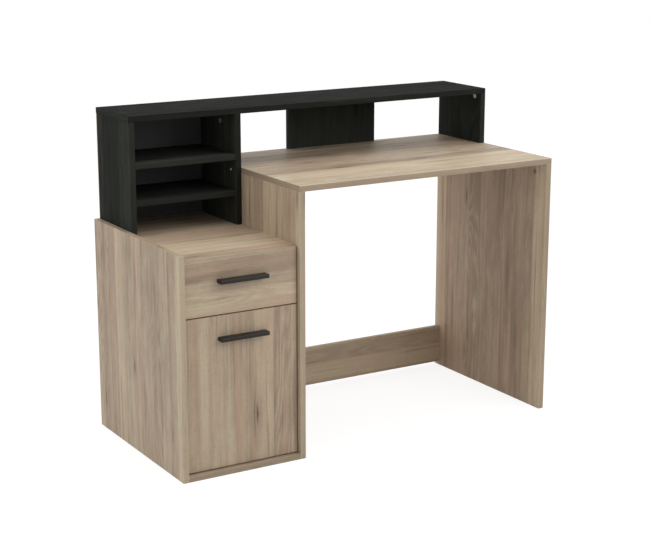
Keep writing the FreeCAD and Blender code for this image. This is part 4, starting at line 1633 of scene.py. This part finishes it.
@dataclass(frozen=True)
class Runners:
    """The drawer's roller runners, with their rollers, axles and screws."""

    shop: Workshop
    runner_screw: CrossScrew = CrossScrew(3.0 * MM, 1.0 * MM, 1.75 * MM)

    def dress(self) -> None:
        """Coat the runners and the rollers and model the screws."""
        for side in ("left", "right"):
            self.shop.coats(WHITE_ENAMEL, (f"cabinet_runner_{side}", f"drawer_runner_{side}"))
            self.shop.coats(ROLLER_PLASTIC, (f"front_roller_{side}", f"rear_roller_{side}"))
        self.shop.coats(AXLE_STEEL, ("front_roller_axles", "rear_roller_axles"))
        for node in ("cabinet_runner_screws", "drawer_runner_screws"):
            self.runner_screw.group(self.shop, node)


@dataclass(frozen=True)
class Fittings:
    """The cabinet's joints and hinges: cams, bolts, dowels, screws, hinge plates and arms."""

    shop: Workshop
    dowels: Board = Board("wood_dowels", Axis.Z, Axis.Y, seed=109.0)
    long_screw: CrossScrew = CrossScrew(3.5 * MM, 2.4 * MM, 1.75 * MM, sunk=True, crown=0.5 * MM)
    fitting_screw: CrossScrew = CrossScrew(3.0 * MM, 1.6 * MM, 1.6 * MM)

    def dress(self) -> None:
        """Give the metal its plating and model the screws."""
        self.shop.coats(CAM_BROWN, ("desk_cam_locks",))
        self.shop.coats(CAST_ZINC, ("hutch_cam_locks",))
        self.shop.coats(ZINC, ("cam_bolts",))
        for place in ("lower", "upper"):
            self.shop.coats(NICKEL, (f"hinge_plate_{place}", f"hinge_arm_{place}"))
        self.shop.coats(STOP_PLASTIC, ("door_stop",))
        self.shop.dress(self.dowels.node, BEECH.solid_wood(self.dowels, self.shop.effects))
        self.long_screw.group(self.shop, "hutch_screws")
        self.fitting_screw.group(self.shop, "cupboard_fitting_screws")


@dataclass(frozen=True)
class Lamp:
    """A soft square lamp: where it hangs, the length of its side and its power in watts."""

    name: str
    place: tuple[float, float, float]
    size: float
    power: float

    def hang(self, aim: Vector) -> None:
        """Hang the lamp so that it faces a point.

        Args:
            aim: The point.
        """
        data = bpy.data.lights.new(self.name, "AREA")
        data.shape = "SQUARE"
        data.size = self.size
        data.energy = self.power
        lamp = bpy.data.objects.new(self.name, data)
        lamp.location = self.place
        lamp.rotation_euler = (aim - lamp.location).to_track_quat("-Z", "Y").to_euler()
        bpy.context.scene.collection.objects.link(lamp)


@dataclass(frozen=True)
class Studio:
    """The camera, the pale floor, the soft lamps and the white surroundings."""

    camera_place: tuple[float, float, float] = (-2.21214, -3.68368, 1.50169)
    camera_pitch: float = -0.2457
    camera_yaw: float = 0.5397
    sensor_width: float = 36.0
    lens: float = 85.92
    view_depth: float = 100.0
    aim: tuple[float, float, float] = (0.0, 0.0, 0.45)
    lamps: tuple[Lamp, ...] = (
        Lamp("left lamp", (-3.4, 0.9, 2.0), 2.4, 27.0),
        Lamp("front lamp", (2.0, -3.2, 2.6), 2.4, 50.0),
        Lamp("top lamp", (0.2, -0.2, 3.4), 2.8, 36.0),
    )
    ambient: float = 0.69
    ambient_colour: Colour = (1.0, 0.985, 0.972, 1.0)
    floor_size: float = 30.0
    floor_colour: Colour = (0.66, 0.66, 0.66, 1.0)
    floor_shadow: Colour = (0.24, 0.24, 0.24, 1.0)
    floor_glow: float = 0.84

    def camera(self) -> None:
        """Set up the camera at the photograph's viewing angle."""
        data = bpy.data.cameras.new("studio camera")
        data.sensor_width = self.sensor_width
        data.lens = self.lens
        data.clip_end = self.view_depth
        camera = bpy.data.objects.new("studio_camera", data)
        camera.location = self.camera_place
        camera.rotation_euler = (math.pi / 2 + self.camera_pitch, 0.0, -self.camera_yaw)
        bpy.context.scene.collection.objects.link(camera)
        bpy.context.scene.camera = camera

    def floor(self) -> None:
        """Lay the pale floor: white to the camera, apart from the shadow that it keeps."""
        mesh = bmesh.new()
        bmesh.ops.create_grid(mesh, x_segments=1, y_segments=1, size=self.floor_size / 2)
        data = bpy.data.meshes.new("studio_floor")
        mesh.to_mesh(data)
        mesh.free()
        data.materials.append(self.floor_material())
        floor = bpy.data.objects.new("studio_floor", data)
        bpy.context.scene.collection.objects.link(floor)

    def floor_material(self) -> bpy.types.Material:
        """Make the floor's material.

        Returns:
            A pale grey for the light on the object, and a white that keeps shadows for the camera.
        """
        material = bpy.data.materials.new("pale floor")
        material.use_nodes = True
        material.node_tree.nodes.clear()
        tree = Tree(material.node_tree)
        plain = tree.add("ShaderNodeBsdfDiffuse", {"Color": self.floor_colour})
        dim = tree.add("ShaderNodeBsdfDiffuse", {"Color": self.floor_shadow})
        glow = tree.add("ShaderNodeEmission", {"Color": WHITE, "Strength": self.floor_glow})
        lit = tree.add("ShaderNodeAddShader", {0: dim.outputs[0], 1: glow.outputs[0]})
        mixed = self.seen_or_lighting(tree, plain, lit)
        tree.add("ShaderNodeOutputMaterial", {"Surface": mixed})
        return material

    @staticmethod
    def seen_or_lighting(tree: Tree, lighting: bpy.types.Node, seen: bpy.types.Node) -> Socket:
        """Show one shader to the rays that see the surroundings and another to those that light.

        Args:
            tree: The tree of the floor or the world.
            lighting: What lights the object.
            seen: What is seen, straight, in gloss or through glass.

        Returns:
            The mixed shader.
        """
        rays = tree.add("ShaderNodeLightPath").outputs
        shown = tree.math("MAXIMUM", rays["Is Camera Ray"], rays["Is Glossy Ray"])
        shown = tree.math("MAXIMUM", shown, rays["Is Transmission Ray"])
        inputs = {0: shown, 1: lighting.outputs[0], 2: seen.outputs[0]}
        return tree.add("ShaderNodeMixShader", inputs).outputs[0]

    def surroundings(self) -> None:
        """Make the world white to the camera and soft and plain as a light."""
        world = bpy.data.worlds.new("studio world")
        world.use_nodes = True
        world.node_tree.nodes.clear()
        bpy.context.scene.world = world
        tree = Tree(world.node_tree)
        light = {"Color": self.ambient_colour, "Strength": self.ambient}
        soft = tree.add("ShaderNodeBackground", light)
        white = tree.add("ShaderNodeBackground", {"Color": WHITE, "Strength": 1.0})
        tree.add("ShaderNodeOutputWorld", {"Surface": self.seen_or_lighting(tree, soft, white)})

    def build(self) -> None:
        """Set up the whole studio."""
        self.camera()
        self.floor()
        self.surroundings()
        for lamp in self.lamps:
            lamp.hang(Vector(self.aim))
        bpy.context.scene.view_settings.view_transform = "Standard"


def main() -> None:
    """Load the frame, dress every assembly and set up the studio."""
    logging.basicConfig(level=logging.INFO, format="%(name)s: %(message)s")
    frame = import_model()
    shop = Workshop(frame)
    assemblies = (
        Pedestal(shop), DeskTop(shop), ShelfUnit(shop), Drawer(shop), CupboardDoor(shop),
        Runners(shop), Fittings(shop),
    )
    for assembly in assemblies:
        assembly.dress()
        LOG.info("%s is dressed", type(assembly).__name__)
    Studio().build()


if __name__ == "__main__":
    main()
